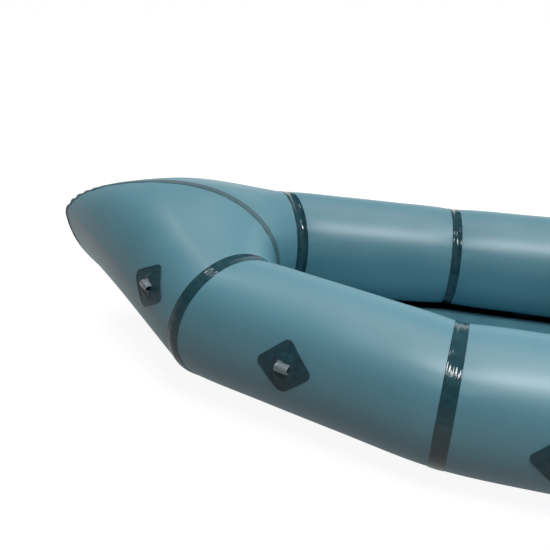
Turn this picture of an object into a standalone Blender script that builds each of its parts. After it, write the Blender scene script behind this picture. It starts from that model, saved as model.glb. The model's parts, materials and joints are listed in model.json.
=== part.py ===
"""An open packraft: welded fabric tube panels, seam tapes, floor, tie-down loops, seat and valves.

The bow points along +X, port is +Y and +Z is up. The underside of the floor sheet rests at z = 0
and the seam at the middle of each side tube is at x = 0.

The air tube is cut the way the real one is: eight hollow panels, open at both ends, that butt at
seam rings. Each ring is a circle, or, where two end panels meet on the centre line, the closed
profile of the bow or stern. Every sheet that lies on the tube (tapes, patches) is laid off from
the same panel surface, so it follows when a size changes.
"""
import math

import bpy
import bmesh
import numpy as np
from mathutils import Matrix, Vector

# Fabric, tapes and clearances
TUBE_WALL = 0.0015
FLOOR_SHEET = 0.0012
TAPE_SHEET = 0.0007
PATCH_SHEET = 0.0009
SEAM_GAP = 0.0003
CENTRE_TAPE_GAP = 0.0005
PATCH_GAP = 0.0008
RING_TAPE_WIDTH = 0.030
CENTRE_TAPE_WIDTH = 0.024

# Side tubes: the seam rings of the port side, measured from the middle seam
TUBE_RADIUS = 0.140
TUBE_SPREAD = 0.335
MID_RING_YAW = math.radians(5.9)
TUBE_BULGE = 0.0035

BOW_RING_REACH = 0.4865
BOW_RING_INSET = 0.1016
BOW_RING_SPREAD = TUBE_SPREAD - BOW_RING_INSET
BOW_RING_GROWTH = 0.0125
BOW_RING_RADIUS = TUBE_RADIUS + BOW_RING_GROWTH
BOW_RING_RISE = 0.0166
BOW_RING_YAW = math.radians(35.5)
BOW_RING_PITCH = math.radians(6.8)

STERN_RING_REACH = 0.620
STERN_RING_SPREAD = TUBE_SPREAD
STERN_RING_RADIUS = TUBE_RADIUS
STERN_RING_RISE = 0.0
STERN_RING_YAW = math.radians(16.0)
STERN_RING_PITCH = math.radians(2.0)

# Closed profile of each end on the boat's centre line, heights above the tube's lowest line.
# Fullness is the exponent of each quarter: outer upper, inner upper, outer lower, inner lower.
BOW_TIP = (1.073, 0.281)
BOW_CROWN = (0.721, 0.406)
BOW_CROTCH = (0.439, 0.196)
BOW_KEEL = (0.600, 0.017)
STERN_TIP = (1.073, 0.185)
STERN_CROWN = (0.945, 0.318)
STERN_CROTCH = (0.800, 0.178)
STERN_KEEL = (0.935, 0.024)
BOW_FULLNESS = (1.9, 2.2, 2.0, 2.2)
STERN_FULLNESS = (2.1, 2.1, 2.0, 2.1)

# How an end panel leaves its seam ring and arrives at the centre line
BOW_PULL_SHARES = (0.42, 1.0)
STERN_PULL_SHARES = (1.15, 1.15)
BOW_TIP_DIRECTION = (0.81, -0.58, -0.06)
STERN_TIP_DIRECTION = (0.0, -1.0, 0.0)
TIP_BLEND = 0.5

# Floor
FLOOR_LAP = 0.018
FLOOR_TAPE_FOOT = 0.037
FLOOR_TAPE_GAP = 0.0008
FLOOR_TAPE_CROTCH = 0.036
FLOOR_TAPE_CORNER = 0.043
FLOOR_TAPE_HEAD = 0.066

# Tie-down patches and webbing loops: distance along the fabric from the panel's forward or
# middle seam, and angle above the tube's outermost line
PATCH_SIDE = 0.086
PATCH_CORNER = 0.013
LOOP_LENGTH = 0.028
LOOP_WIDTH = 0.018
LOOP_HEIGHT = 0.0125
LOOP_CORNER = 0.006
WEBBING = 0.0016
BOW_PATCH_RUN = 0.120
BOW_PATCH_ANGLE = math.radians(24.5)
FRONT_PATCH_RUN = 0.303
FRONT_PATCH_ANGLE = math.radians(15)
REAR_PATCH_RUN = 0.197
REAR_PATCH_ANGLE = math.radians(4)
STERN_PATCH_RUN = 0.280
STERN_PATCH_ANGLE = math.radians(8)

# Seat and backrest, two inflated cushions joined by a fabric hinge. The seat's rear edge is set
# back from the stern ring, so that the backrest leans on the stern tubes.
SEAT_LENGTH = 0.300
SEAT_WIDTH = 0.310
SEAT_THICKNESS = 0.060
SEAT_SETBACK = 0.057
BACK_HEIGHT = 0.235
BACK_WIDTH = 0.300
BACK_THICKNESS = 0.050
CUSHION_WALL = 0.0012
CUSHION_CORNER_SHARE = 0.07
CUSHION_CORNER_POWER = 4
CUSHION_END_POWER = 6
CUSHION_SIDE_POWER = 8
CHANNELS = 3
CHANNEL_FLOOR_SHARE = 0.5
CHANNEL_POWER = 0.6
HINGE_WIDTH = 0.250
HINGE_SHEET = 0.0008
HINGE_GAP = 0.0004
HINGE_LAP = 0.0016

# Main valve, on top of the starboard rear panel
VALVE_REACH = 0.400
VALVE_PATCH_RADIUS = 0.043
VALVE_COLLAR_RADIUS = 0.0255
VALVE_COLLAR_HEIGHT = 0.0125
VALVE_BARREL_RADIUS = 0.0205
VALVE_BARREL_DEPTH = 0.018
VALVE_BORE_RADIUS = 0.0175
VALVE_SEAT_RADIUS = 0.0135
VALVE_SEAT_DEPTH = 0.009
VALVE_LIP = 0.002
GUIDE_RIM = 0.0022
GUIDE_HEIGHT = 0.002
GUIDE_HUB_RADIUS = 0.0045
GUIDE_SPOKE = 0.0022
GUIDE_SPOKES = 3
STEM_RADIUS = 0.0022
BUTTON_RADIUS = 0.0065
BUTTON_HEIGHT = 0.0025
POPPET_TRAVEL = 0.006
SPRING_PRESSED = 0.0087
POPPET_RADIUS = 0.0160
POPPET_SHEET = 0.0022
SPRING_WIRE = 0.0005
SPRING_RADIUS = 0.0037
SPRING_TURNS = 4
CAP_RADIUS = 0.0285
CAP_TOP = 0.0024
TETHER_SHEET = 0.0016
TETHER_BAND = 0.0045
TETHER_STRAP = 0.014
RUNNING_GAP = 0.0004
CUT_OVERRUN = 0.004

# Mouth valves of the seat and the backrest
MOUTH_FLANGE_RADIUS = 0.012
MOUTH_FLANGE = 0.0014
MOUTH_STEM_RADIUS = 0.0048
MOUTH_BORE_RADIUS = 0.0026
MOUTH_STEM_HEIGHT = 0.018
MOUTH_STEM_DEPTH = 0.006
MOUTH_PIECE_WALL = 0.0026
MOUTH_PIECE_RISE = 0.0035
SEAT_VALVE_SHARES = (0.76, 0.66)
BACK_VALVE_SHARES = (0.66, 0.66)

# Fineness of the meshes
AROUND = 28
END_SPANS = 8
SIDE_SPANS = 3
CUSHION_ALONG = 8
CUSHION_ACROSS = 15
ROUND = 20
CORNER_STEPS = 3
SPRING_STEPS = 8
PATCH_RINGS = 3
SPOT_STATIONS = 100
END_STATIONS = 8
SIDE_STATIONS = 3
BELLY_RAYS = 25
BELLY_STATIONS = 40
BELLY_SPREAD = math.radians(36)
CENTRE_SETBACK_SHARE = 0.06
TAPED_SHARE = 0.12
MERGE_DISTANCE = 0.00001
FABRIC_CREASE = 40
CUSHION_CREASE = 60

TAPE_ROOM = CENTRE_TAPE_GAP + TAPE_SHEET + 2 * SEAM_GAP
TUBE_LIFT = FLOOR_SHEET + 2 * SEAM_GAP + TUBE_BULGE
KEEL = 1.5 * math.pi
QUARTER = math.pi / 2
PORT_TURN = np.linspace(0, 2 * math.pi, AROUND, endpoint=False)

for old in list(bpy.data.objects):
    bpy.data.objects.remove(old)

PARTS = bpy.data.collections.new("packraft")
CUTTERS = bpy.data.collections.new("cutters")
bpy.context.scene.collection.children.link(PARTS)
bpy.context.scene.collection.children.link(CUTTERS)


def colour(code):
    """Linear colour from an sRGB hex code."""
    parts = [int(code[i:i + 2], 16) / 255 for i in (0, 2, 4)]
    linear = [p / 12.92 if p <= 0.04045 else ((p + 0.055) / 1.055) ** 2.4 for p in parts]
    return (*linear, 1.0)


def material(name, code, roughness, metallic=0.0):
    mat = bpy.data.materials.new(name)
    mat.use_nodes = True
    shader = mat.node_tree.nodes["Principled BSDF"]
    shader.inputs["Base Color"].default_value = colour(code)
    shader.inputs["Roughness"].default_value = roughness
    shader.inputs["Metallic"].default_value = metallic
    mat.diffuse_color = colour(code)
    return mat


HULL_FABRIC = material("coated hull fabric", "5f8794", 0.55)
FLOOR_FABRIC = material("floor fabric", "446a75", 0.5)
SEAM_TAPE = material("glossy seam tape", "24404a", 0.22)
FLOOR_TAPE = material("black floor tape", "101416", 0.35)
PATCH_FABRIC = material("patch fabric", "26383f", 0.5)
COATED_WEBBING = material("coated webbing", "39474d", 0.25)
CUSHION_FABRIC = material("cushion fabric", "2b3337", 0.6)
VALVE_PLASTIC = material("valve plastic", "1b1d1f", 0.4)
SPRING_STEEL = material("spring steel", "b8bcc0", 0.3, 1.0)


def keep(obj, mat, collection=PARTS):
    for owner in list(obj.users_collection):
        owner.objects.unlink(obj)
    collection.objects.link(obj)
    if mat:
        obj.data.materials.clear()
        obj.data.materials.append(mat)
    return obj


def mesh_object(name, points, faces, mat, crease=FABRIC_CREASE):
    """An object from points and faces, its faces turned to point out."""
    mesh = bpy.data.meshes.new(name)
    mesh.from_pydata([tuple(p) for p in points], [], faces)
    shape = bmesh.new()
    shape.from_mesh(mesh)
    bmesh.ops.recalc_face_normals(shape, faces=shape.faces)
    if shape.calc_volume(signed=True) < 0:
        bmesh.ops.reverse_faces(shape, faces=shape.faces)
    shape.to_mesh(mesh)
    shape.free()
    mesh.shade_smooth()
    mesh.set_sharp_from_angle(angle=math.radians(crease))
    obj = bpy.data.objects.new(name, mesh)
    return keep(obj, mat)


def mirrored(obj, name):
    """The starboard twin of a port piece."""
    mesh = obj.data.copy()
    mesh.transform(Matrix.Scale(-1, 4, Vector((0, 1, 0))) @ obj.matrix_world)
    mesh.flip_normals()
    twin = bpy.data.objects.new(name, mesh)
    PARTS.objects.link(twin)
    return twin


def unit(v):
    return v / np.linalg.norm(v, axis=-1, keepdims=True)


# Seam rings and the closed end profiles

def circle_ring(reach, spread, rise, radius, yaw, pitch, heading):
    """A port seam ring. Angle 0 is outboard, a quarter turn is up; heading is +1 bow, -1 stern."""
    forward = np.array([heading * math.cos(yaw) * math.cos(pitch),
                        -math.sin(yaw) * math.cos(pitch), math.sin(pitch)])
    outward = np.array([heading * math.sin(yaw), math.cos(yaw), 0.0])
    upward = heading * np.cross(forward, outward)
    centre = np.array([heading * reach, spread, TUBE_LIFT + rise + radius])

    def loop(angles):
        return (centre + radius * (np.cos(angles)[:, None] * outward
                                   + np.sin(angles)[:, None] * upward))
    return {"loop": loop, "centre": centre, "forward": forward, "plane": forward, "is_ring": True}


def signed_power(values, power):
    return np.sign(values) * np.abs(values) ** power


def end_profile(tip, crown, crotch, keel, fullness, heading):
    """The closed curve where two end panels meet, as four quarter superellipses."""
    def loop(angles):
        cosines, sines = np.cos(angles), np.sin(angles)
        points = np.zeros((len(angles), 3))
        for i, (c, s) in enumerate(zip(cosines, sines)):
            middle = crown[0] if s >= 0 else keel[0]
            level = tip[1] if c >= 0 else crotch[1]
            length = tip[0] - middle if c >= 0 else middle - crotch[0]
            height = crown[1] - level if s >= 0 else level - keel[1]
            power = 2 / fullness[(c < 0) + 2 * (s < 0)]
            points[i] = (heading * (middle + length * signed_power(c, power)),
                         SEAM_GAP / 2,
                         TUBE_LIFT + level + height * signed_power(s, power))
        return points
    across = np.array([0.0, -1.0, 0.0])
    return {"loop": loop, "forward": across, "plane": across, "is_ring": False}


MID_RING = circle_ring(0.0, TUBE_SPREAD, 0.0, TUBE_RADIUS, MID_RING_YAW, 0.0, 1)
BOW_RING = circle_ring(BOW_RING_REACH, BOW_RING_SPREAD, BOW_RING_RISE, BOW_RING_RADIUS,
                       BOW_RING_YAW, BOW_RING_PITCH, 1)
STERN_RING = circle_ring(STERN_RING_REACH, STERN_RING_SPREAD, STERN_RING_RISE, STERN_RING_RADIUS,
                         STERN_RING_YAW, STERN_RING_PITCH, -1)
MID_RING_AFT = dict(MID_RING, forward=-MID_RING["forward"])
BOW_PROFILE = end_profile(BOW_TIP, BOW_CROWN, BOW_CROTCH, BOW_KEEL, BOW_FULLNESS, 1)
STERN_PROFILE = end_profile(STERN_TIP, STERN_CROWN, STERN_CROTCH, STERN_KEEL, STERN_FULLNESS, -1)


# Panel surfaces: share runs from the start ring (0) to the end ring (1)

def side_panel(start, end):
    """A straight tube between two rings, swollen a little between its seams."""
    def surface(shares, angles):
        shares = np.broadcast_to(shares, angles.shape)[:, None]
        near, far = start["loop"](angles), end["loop"](angles)
        middle = start["centre"] + (end["centre"] - start["centre"]) * shares
        points = near + (far - near) * shares
        swell = TUBE_BULGE * np.sqrt(np.clip(4 * shares * (1 - shares), 0, 1))
        return points + swell * unit(points - middle)
    return {"surface": surface, "start": start, "end": end}


def end_panel(start, end, pull_shares, tip_direction):
    """A bow or stern half: a cubic loft from a seam ring to the centre-line profile."""
    tip_heading = unit(np.array(tip_direction))

    def surface(shares, angles):
        t = np.broadcast_to(shares, angles.shape)[:, None]
        near, far = start["loop"](angles), end["loop"](angles)
        chord = np.linalg.norm(far - near, axis=1, keepdims=True)
        toward_tip = np.clip(np.cos(angles), 0, 1)[:, None] ** TIP_BLEND
        arrival = unit((1 - toward_tip) * end["forward"] + toward_tip * tip_heading)
        leaving = pull_shares[0] * chord * start["forward"]
        arriving = pull_shares[1] * chord * arrival
        return ((2 * t ** 3 - 3 * t ** 2 + 1) * near + (t ** 3 - 2 * t ** 2 + t) * leaving
                + (3 * t ** 2 - 2 * t ** 3) * far + (t ** 3 - t ** 2) * arriving)
    return {"surface": surface, "start": start, "end": end}


BOW_PANEL = end_panel(BOW_RING, BOW_PROFILE, BOW_PULL_SHARES, BOW_TIP_DIRECTION)
FRONT_PANEL = side_panel(MID_RING, BOW_RING)
REAR_PANEL = side_panel(MID_RING_AFT, STERN_RING)
STERN_PANEL = end_panel(STERN_RING, STERN_PROFILE, STERN_PULL_SHARES, STERN_TIP_DIRECTION)

# Small change of share or angle over which a surface's slopes are taken
STEP = 0.001


def panel_normals(panel, shares, angles):
    """Outward unit normals of a panel's surface, flattened into the seam plane at its ends."""
    shares = np.broadcast_to(shares, angles.shape).astype(float)
    along = (panel["surface"](np.clip(shares + STEP, 0, 1), angles)
             - panel["surface"](np.clip(shares - STEP, 0, 1), angles))
    around = panel["surface"](shares, angles + STEP) - panel["surface"](shares, angles - STEP)
    for edge, ring in ((0, panel["start"]), (1, panel["end"])):
        at_seam = np.abs(shares - edge) < STEP / 10
        along = np.where(at_seam[:, None], ring["plane"], along)
    normals = unit(np.cross(along, around))
    centre = panel["surface"](shares.mean(), PORT_TURN).mean(axis=0)
    outward = panel["surface"](shares, angles) - centre
    return normals * np.sign(np.mean(np.sum(normals * outward, axis=1)))


def shares_at(panel, distance, angles, from_end=False):
    """The share at which each line along the panel has run the given distance from a seam."""
    low, high = (1 - STEP, 1.0) if from_end else (0.0, STEP)
    run = panel["surface"](high, angles) - panel["surface"](low, angles)
    share = distance * STEP / np.linalg.norm(run, axis=1)
    return 1 - share if from_end else share


def lifted(panel, shares, angles, height):
    return panel["surface"](shares, angles) + height * panel_normals(panel, shares, angles)


def strip(first, second, count, turned=False):
    """Triangles between two loops of point numbers, all cut along the same diagonal."""
    faces = []
    for i in range(count):
        j = (i + 1) % count
        a, b, c, d = first + i, first + j, second + j, second + i
        faces += [(a, b, d), (b, c, d)] if turned else [(a, b, c), (a, c, d)]
    return faces


def shell(name, outer, inner, mat, turned=()):
    """A sleeve open at both ends: outer loops, inner loops and the two rims between them."""
    count = len(outer[0])
    points = np.concatenate(list(outer) + list(inner))
    outer_starts = [k * count for k in range(len(outer))]
    inner_starts = [(len(outer) + k) * count for k in range(len(inner))]
    faces = []
    for starts in (outer_starts, inner_starts):
        for k in range(len(starts) - 1):
            faces += strip(starts[k], starts[k + 1], count, k in turned)
    faces += strip(outer_starts[0], inner_starts[0], count)
    faces += strip(outer_starts[-1], inner_starts[-1], count)
    return mesh_object(name, points, faces, mat)


def panel_stations(panel, spans, end_is_profile):
    """Shares along a panel: its seams, its tape edges and even spans between them."""
    start = shares_at(panel, RING_TAPE_WIDTH / 2, PORT_TURN)
    end_width = CENTRE_TAPE_WIDTH if end_is_profile else RING_TAPE_WIDTH
    end = shares_at(panel, end_width / 2, PORT_TURN, from_end=True)
    stations = [start + (end - start) * k / spans for k in range(spans + 1)]
    return [np.zeros(AROUND)] + stations + [np.ones(AROUND)]


def panel_loop(panel, shares):
    """A loop of the panel's surface, drawn back at its ring seams to keep a gap there."""
    points = panel["surface"](shares, PORT_TURN)
    if shares.max() == 0:
        return points + SEAM_GAP / 2 * panel["start"]["forward"]
    if shares.min() == 1 and panel["end"]["is_ring"]:
        return points - SEAM_GAP / 2 * panel["end"]["forward"]
    return points


def tube_panel(name, panel, spans, end_is_profile=False):
    stations = panel_stations(panel, spans, end_is_profile)
    outer = [panel_loop(panel, s) for s in stations]
    inner = [panel_loop(panel, s) - TUBE_WALL * panel_normals(panel, s, PORT_TURN)
             for s in stations]
    if not end_is_profile:
        inner = [inner[0]] + inner[2:-2] + [inner[-1]]
    port = shell(name + "_port", outer, inner, HULL_FABRIC)
    return port, mirrored(port, name + "_starboard")


def ring_tape(name, before, after):
    """A tape band over the seam where one panel ends and the next starts."""
    half = RING_TAPE_WIDTH / 2
    end = before["end"] is after["start"]
    edges = (shares_at(before, half, PORT_TURN, from_end=end), shares_at(after, half, PORT_TURN))
    seam_share = 1.0 if end else 0.0
    loops = []
    for height in (SEAM_GAP, SEAM_GAP + TAPE_SHEET):
        loops.append([lifted(before, edges[0], PORT_TURN, height),
                      lifted(before, np.full(AROUND, seam_share), PORT_TURN, height),
                      lifted(after, edges[1], PORT_TURN, height)])
    port = shell(name + "_port", loops[1], loops[0], SEAM_TAPE)
    return port, mirrored(port, name + "_starboard")


def centre_tape(name, panel):
    """The tape over the centre-line seam of the bow or the stern."""
    edge = shares_at(panel, CENTRE_TAPE_WIDTH / 2, PORT_TURN, from_end=True)
    across = np.array([1.0, -1.0, 1.0])
    loops = []
    for height in (CENTRE_TAPE_GAP, CENTRE_TAPE_GAP + TAPE_SHEET):
        port = lifted(panel, edge, PORT_TURN, height)
        middle = lifted(panel, np.ones(AROUND), PORT_TURN, height) * np.array([1.0, 0.0, 1.0])
        loops.append([port, middle, port * across])
    return shell(name, loops[1], loops[0], SEAM_TAPE, turned=(1,))


def boat_run(angle):
    """Port stations from the stern's centre line to the bow's: a point, its panel and share."""
    run = []
    ends = 1 - CENTRE_SETBACK_SHARE
    for panel, first, last, spans in ((STERN_PANEL, ends, 0.0, END_STATIONS),
                                      (REAR_PANEL, 1.0, 0.0, SIDE_STATIONS),
                                      (FRONT_PANEL, 0.0, 1.0, SIDE_STATIONS),
                                      (BOW_PANEL, 0.0, ends, END_STATIONS)):
        shares = np.linspace(first, last, spans + 1)
        run += [(panel, share) for share in (shares[1:] if run else shares)]
    return [(panel["surface"](share, np.array([angle]))[0], panel, share) for panel, share in run]


def belly_hull():
    """The lowest line clear of tubes and tapes that never bends down, flat along the rear panels."""
    belly = np.linspace(KEEL - BELLY_SPREAD, KEEL + BELLY_SPREAD, BELLY_RAYS)
    points = []
    for panel in (BOW_PANEL, FRONT_PANEL, REAR_PANEL, STERN_PANEL):
        for share in np.linspace(0, 1, BELLY_STATIONS):
            taped = min(share, 1 - share) < TAPED_SHARE
            room = TAPE_ROOM if taped else SEAM_GAP
            points += [(x, z - room) for x, y, z in panel["surface"](share, belly)]
    points += [(0.0, FLOOR_SHEET), (-STERN_RING_REACH, FLOOR_SHEET)]
    hull = []
    for x, z in sorted(points):
        while len(hull) > 1 and ((hull[-1][0] - hull[-2][0]) * (z - hull[-2][1])
                                 <= (hull[-1][1] - hull[-2][1]) * (x - hull[-2][0])):
            hull.pop()
        hull.append((x, z))
    return hull


BELLY = belly_hull()


def floor_top(reach):
    """Height of the floor's upper face at a place along the boat."""
    return np.interp(reach, [x for x, z in BELLY], [z for x, z in BELLY])


def outward_at(run, k):
    """The level direction square to a run of stations, away from the boat's centre line."""
    before, after = run[max(k - 1, 0)][0], run[min(k + 1, len(run) - 1)][0]
    along = unit((after - before) * np.array([1.0, 1.0, 0.0]))
    return np.array([-along[1], along[0], 0.0])


def floor_line():
    """The port edge of the floor, from the stern to the bow, a lap outside the tube's keel."""
    keel = boat_run(KEEL)
    line = []
    for k, (point, panel, share) in enumerate(keel):
        edge = point + FLOOR_LAP * outward_at(keel, k)
        line.append(np.array([edge[0], max(edge[1], FLOOR_LAP / 2), floor_top(edge[0])]))
    return line


def floor_sheet():
    """One sheet ruled across the boat between its two edges."""
    line = floor_line()
    loops = []
    for x, y, z in line:
        loops.append(np.array([(x, y, z), (x, -y, z), (x, -y, z - FLOOR_SHEET),
                               (x, y, z - FLOOR_SHEET)]))
    faces = []
    for k in range(len(loops) - 1):
        faces += strip(4 * k, 4 * (k + 1), 4)
    last = 4 * (len(loops) - 1)
    faces += [(0, 1, 2, 3), (last, last + 1, last + 2, last + 3)]
    return mesh_object("floor_sheet", np.concatenate(loops), faces, FLOOR_FABRIC)


tube_panel("bow_panel", BOW_PANEL, END_SPANS, end_is_profile=True)
tube_panel("front_panel", FRONT_PANEL, SIDE_SPANS)
tube_panel("rear_panel", REAR_PANEL, SIDE_SPANS)
tube_panel("stern_panel", STERN_PANEL, END_SPANS, end_is_profile=True)
ring_tape("bow_seam_tape", FRONT_PANEL, BOW_PANEL)
ring_tape("mid_seam_tape", REAR_PANEL, FRONT_PANEL)
ring_tape("stern_seam_tape", REAR_PANEL, STERN_PANEL)
centre_tape("bow_centre_tape", BOW_PANEL)
centre_tape("stern_centre_tape", STERN_PANEL)
floor_sheet()


# Floor seam tapes: a folded strip in the corner between the floor and each side tube

def floor_height(reach, line):
    reaches = [point[0] for point in line]
    return np.interp(reach, reaches, [point[2] for point in line])


def floor_tape():
    line = floor_line()
    keel = boat_run(KEEL)
    loops = []
    for k, (point, panel, share) in enumerate(keel):

        def under_tube(offset, height):
            angle = KEEL - math.asin(offset / TUBE_RADIUS)
            return lifted(panel, share, np.array([angle]), height)[0]

        def on_floor(spot, height):
            return np.array([spot[0], spot[1], floor_height(spot[0], line) + height])

        high = TAPE_ROOM + FLOOR_TAPE_GAP
        low = high + TAPE_SHEET
        crotch = under_tube(FLOOR_TAPE_CROTCH, high)
        corner = under_tube(FLOOR_TAPE_CORNER, low)
        foot = crotch - FLOOR_TAPE_FOOT * outward_at(keel, k)
        middle = (FLOOR_TAPE_CORNER + FLOOR_TAPE_HEAD) / 2
        loops.append(np.array([
            on_floor(foot, SEAM_GAP), on_floor(foot, SEAM_GAP + TAPE_SHEET),
            on_floor(corner, SEAM_GAP + TAPE_SHEET), corner, under_tube(middle, low),
            under_tube(FLOOR_TAPE_HEAD, low), under_tube(FLOOR_TAPE_HEAD, high),
            under_tube(middle, high), crotch, on_floor(crotch, SEAM_GAP)]))
    count = len(loops[0])
    faces = []
    for k in range(len(loops) - 1):
        faces += strip(count * k, count * (k + 1), count)
    last = count * (len(loops) - 1)
    faces += [tuple(range(count)), tuple(range(last, last + count))]
    port = mesh_object("floor_tape_port", np.concatenate(loops), faces, FLOOR_TAPE)
    return port, mirrored(port, "floor_tape_starboard")


floor_tape()


# Sheets welded on a panel, laid out in metres about a spot on its surface

def spot_frame(panel, distance, angle):
    """A spot at a distance along the fabric from the panel's start seam, with axes there."""
    line = np.array([angle])
    shares = np.linspace(0, 1, SPOT_STATIONS)
    points = panel["surface"](shares, np.full(SPOT_STATIONS, angle))
    runs = np.cumsum(np.linalg.norm(np.diff(points, axis=0), axis=1))
    share = np.interp(distance, np.concatenate([[0.0], runs]), shares)
    origin = panel["surface"](share, line)[0]
    by_share = (panel["surface"](share + STEP, line)[0] - origin) / STEP
    by_angle = (panel["surface"](share, line + STEP)[0] - origin) / STEP
    normal = panel_normals(panel, share, line)[0]
    along = unit(by_share)
    along = along * np.sign(along[0])
    down = np.cross(normal, along)
    slopes = np.array([[by_share @ along, by_angle @ along], [by_share @ down, by_angle @ down]])
    return {"share": share, "angle": angle, "origin": origin, "along": along, "down": down,
            "normal": normal, "slopes": np.linalg.inv(slopes), "panel": panel}


def on_spot(spot, a, b, height):
    """A point of the panel's surface, a metres along and b metres down from the spot, lifted."""
    step = spot["slopes"] @ np.array([a, b])
    angle = np.array([spot["angle"] + step[1]])
    return lifted(spot["panel"], spot["share"] + step[0], angle, height)[0]


def arc(cx, cy, radius, start, end, steps):
    return [(cx + radius * math.cos(start + (end - start) * k / steps),
             cy + radius * math.sin(start + (end - start) * k / steps)) for k in range(steps + 1)]


def diamond():
    """A rounded square stood on its corner, with a point at the middle of each edge."""
    half = PATCH_SIDE / 2
    centre = (half - PATCH_CORNER) * math.sqrt(2)
    points = []
    for corner in range(4):
        turn = corner * QUARTER
        start, end = turn - QUARTER / 2, turn + QUARTER / 2
        points += arc(centre * math.cos(turn), centre * math.sin(turn), PATCH_CORNER,
                      start, end, CORNER_STEPS)
        points.append((half * math.cos(end), half * math.sin(end)))
    return points


def circle(radius, count):
    return [(radius * math.cos(2 * math.pi * k / count), radius * math.sin(2 * math.pi * k / count))
            for k in range(count)]


def welded_sheet(name, spot, outline, mat, hole_radius=0.0):
    """A thin sheet that follows the panel, filled to its middle or down to a round hole."""
    count = len(outline)
    reach = [math.hypot(*point) for point in outline]
    layers = []
    for height in (PATCH_GAP, PATCH_GAP + PATCH_SHEET):
        rings = []
        for k in range(PATCH_RINGS, 0, -1):
            grow = [(hole_radius + (r - hole_radius) * k / PATCH_RINGS) / r for r in reach]
            rings.append([on_spot(spot, a * g, b * g, height) for (a, b), g in zip(outline, grow)])
        if hole_radius:
            grow = [hole_radius / r for r in reach]
            rings.append([on_spot(spot, a * g, b * g, height) for (a, b), g in zip(outline, grow)])
        else:
            rings.append([on_spot(spot, 0.0, 0.0, height)])
        layers.append(rings)
    points = [p for rings in layers for ring in rings for p in ring]
    layer_size = len(points) // 2
    faces = []
    for first in (0, layer_size):
        for k in range(len(layers[0]) - 2 + bool(hole_radius)):
            faces += strip(first + k * count, first + (k + 1) * count, count)
        if not hole_radius:
            last_ring = first + (PATCH_RINGS - 1) * count
            middle = first + PATCH_RINGS * count
            faces += [(last_ring + i, last_ring + (i + 1) % count, middle) for i in range(count)]
    faces += strip(0, layer_size, count)
    if hole_radius:
        faces += strip(PATCH_RINGS * count, layer_size + PATCH_RINGS * count, count)
    return mesh_object(name, points, faces, mat)


def matrix(origin, x_axis, y_axis, z_axis):
    columns = Matrix((Vector(x_axis), Vector(y_axis), Vector(z_axis))).transposed().to_4x4()
    columns.translation = Vector(origin)
    return columns


def prism(name, outlines, depth, placing, mat):
    """A flat outline, with any holes, extruded equally to both sides of its plane."""
    data = bpy.data.curves.new(name, "CURVE")
    data.dimensions = "2D"
    data.fill_mode = "BOTH"
    data.extrude = depth / 2
    for outline in outlines:
        spline = data.splines.new("POLY")
        spline.points.add(len(outline) - 1)
        for point, (x, y) in zip(spline.points, outline):
            point.co = (x, y, 0.0, 1.0)
        spline.use_cyclic_u = True
    flat = bpy.data.objects.new(name + " outline", data)
    PARTS.objects.link(flat)
    bpy.context.view_layer.update()
    mesh = bpy.data.meshes.new_from_object(flat.evaluated_get(bpy.context.evaluated_depsgraph_get()))
    bpy.data.objects.remove(flat)
    shape = bmesh.new()
    shape.from_mesh(mesh)
    bmesh.ops.remove_doubles(shape, verts=shape.verts, dist=MERGE_DISTANCE)
    bmesh.ops.recalc_face_normals(shape, faces=shape.faces)
    shape.to_mesh(mesh)
    shape.free()
    mesh.name = name
    obj = bpy.data.objects.new(name, mesh)
    obj.matrix_world = placing
    return keep(obj, mat)


def loop_outline():
    """The bent webbing seen along its tunnel: two legs, round shoulders and a flat top."""
    shoulder = LOOP_WIDTH / 2 - LOOP_CORNER
    level = LOOP_HEIGHT - LOOP_CORNER
    sides = []
    for radius in (LOOP_CORNER, LOOP_CORNER - WEBBING):
        leg = shoulder + radius
        sides.append([(leg, 0.0)] + arc(shoulder, level, radius, 0.0, QUARTER, CORNER_STEPS)
                     + arc(-shoulder, level, radius, QUARTER, 2 * QUARTER, CORNER_STEPS)
                     + [(-leg, 0.0)])
    return sides[0] + sides[1][::-1]


def tie_down(place, panel, run, angle):
    """A patch and its webbing loop, on both sides of the boat."""
    spot = spot_frame(panel, run, angle)
    patch = welded_sheet(f"{place}_patch_port", spot, diamond(), PATCH_FABRIC)
    mirrored(patch, f"{place}_patch_starboard")
    foot = spot["origin"] + (PATCH_GAP + PATCH_SHEET + SEAM_GAP) * spot["normal"]
    loop = prism(f"{place}_loop_port", [loop_outline()], LOOP_LENGTH,
                 matrix(foot, spot["down"], spot["normal"], spot["along"]), COATED_WEBBING)
    mirrored(loop, f"{place}_loop_starboard")


tie_down("bow", BOW_PANEL, BOW_PATCH_RUN, BOW_PATCH_ANGLE)
tie_down("front", FRONT_PANEL, FRONT_PATCH_RUN, FRONT_PATCH_ANGLE)
tie_down("rear", REAR_PANEL, REAR_PATCH_RUN, REAR_PATCH_ANGLE)
tie_down("stern", STERN_PANEL, STERN_PATCH_RUN, STERN_PATCH_ANGLE)


# Inflated cushions: closed pillows with welded channels, hollow, opened where a valve goes in

def pillow_height(s, c, thickness):
    """Half thickness at shares s along and c across, each from -1 to 1."""
    rim = math.sqrt(max((1 - s ** CUSHION_END_POWER) * (1 - c ** CUSHION_SIDE_POWER), 0.0))
    ridge = abs(math.sin(QUARTER * CHANNELS * (c + 1))) ** CHANNEL_POWER
    return thickness / 2 * rim * (CHANNEL_FLOOR_SHARE + (1 - CHANNEL_FLOOR_SHARE) * ridge)


def pillow_point(s, c, side, length, width, thickness):
    tuck = 1 - CUSHION_CORNER_SHARE * (s * c) ** CUSHION_CORNER_POWER
    height = pillow_height(s, c, thickness)
    return np.array([length / 2 * s * tuck, width / 2 * c * tuck, side * height])


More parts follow.
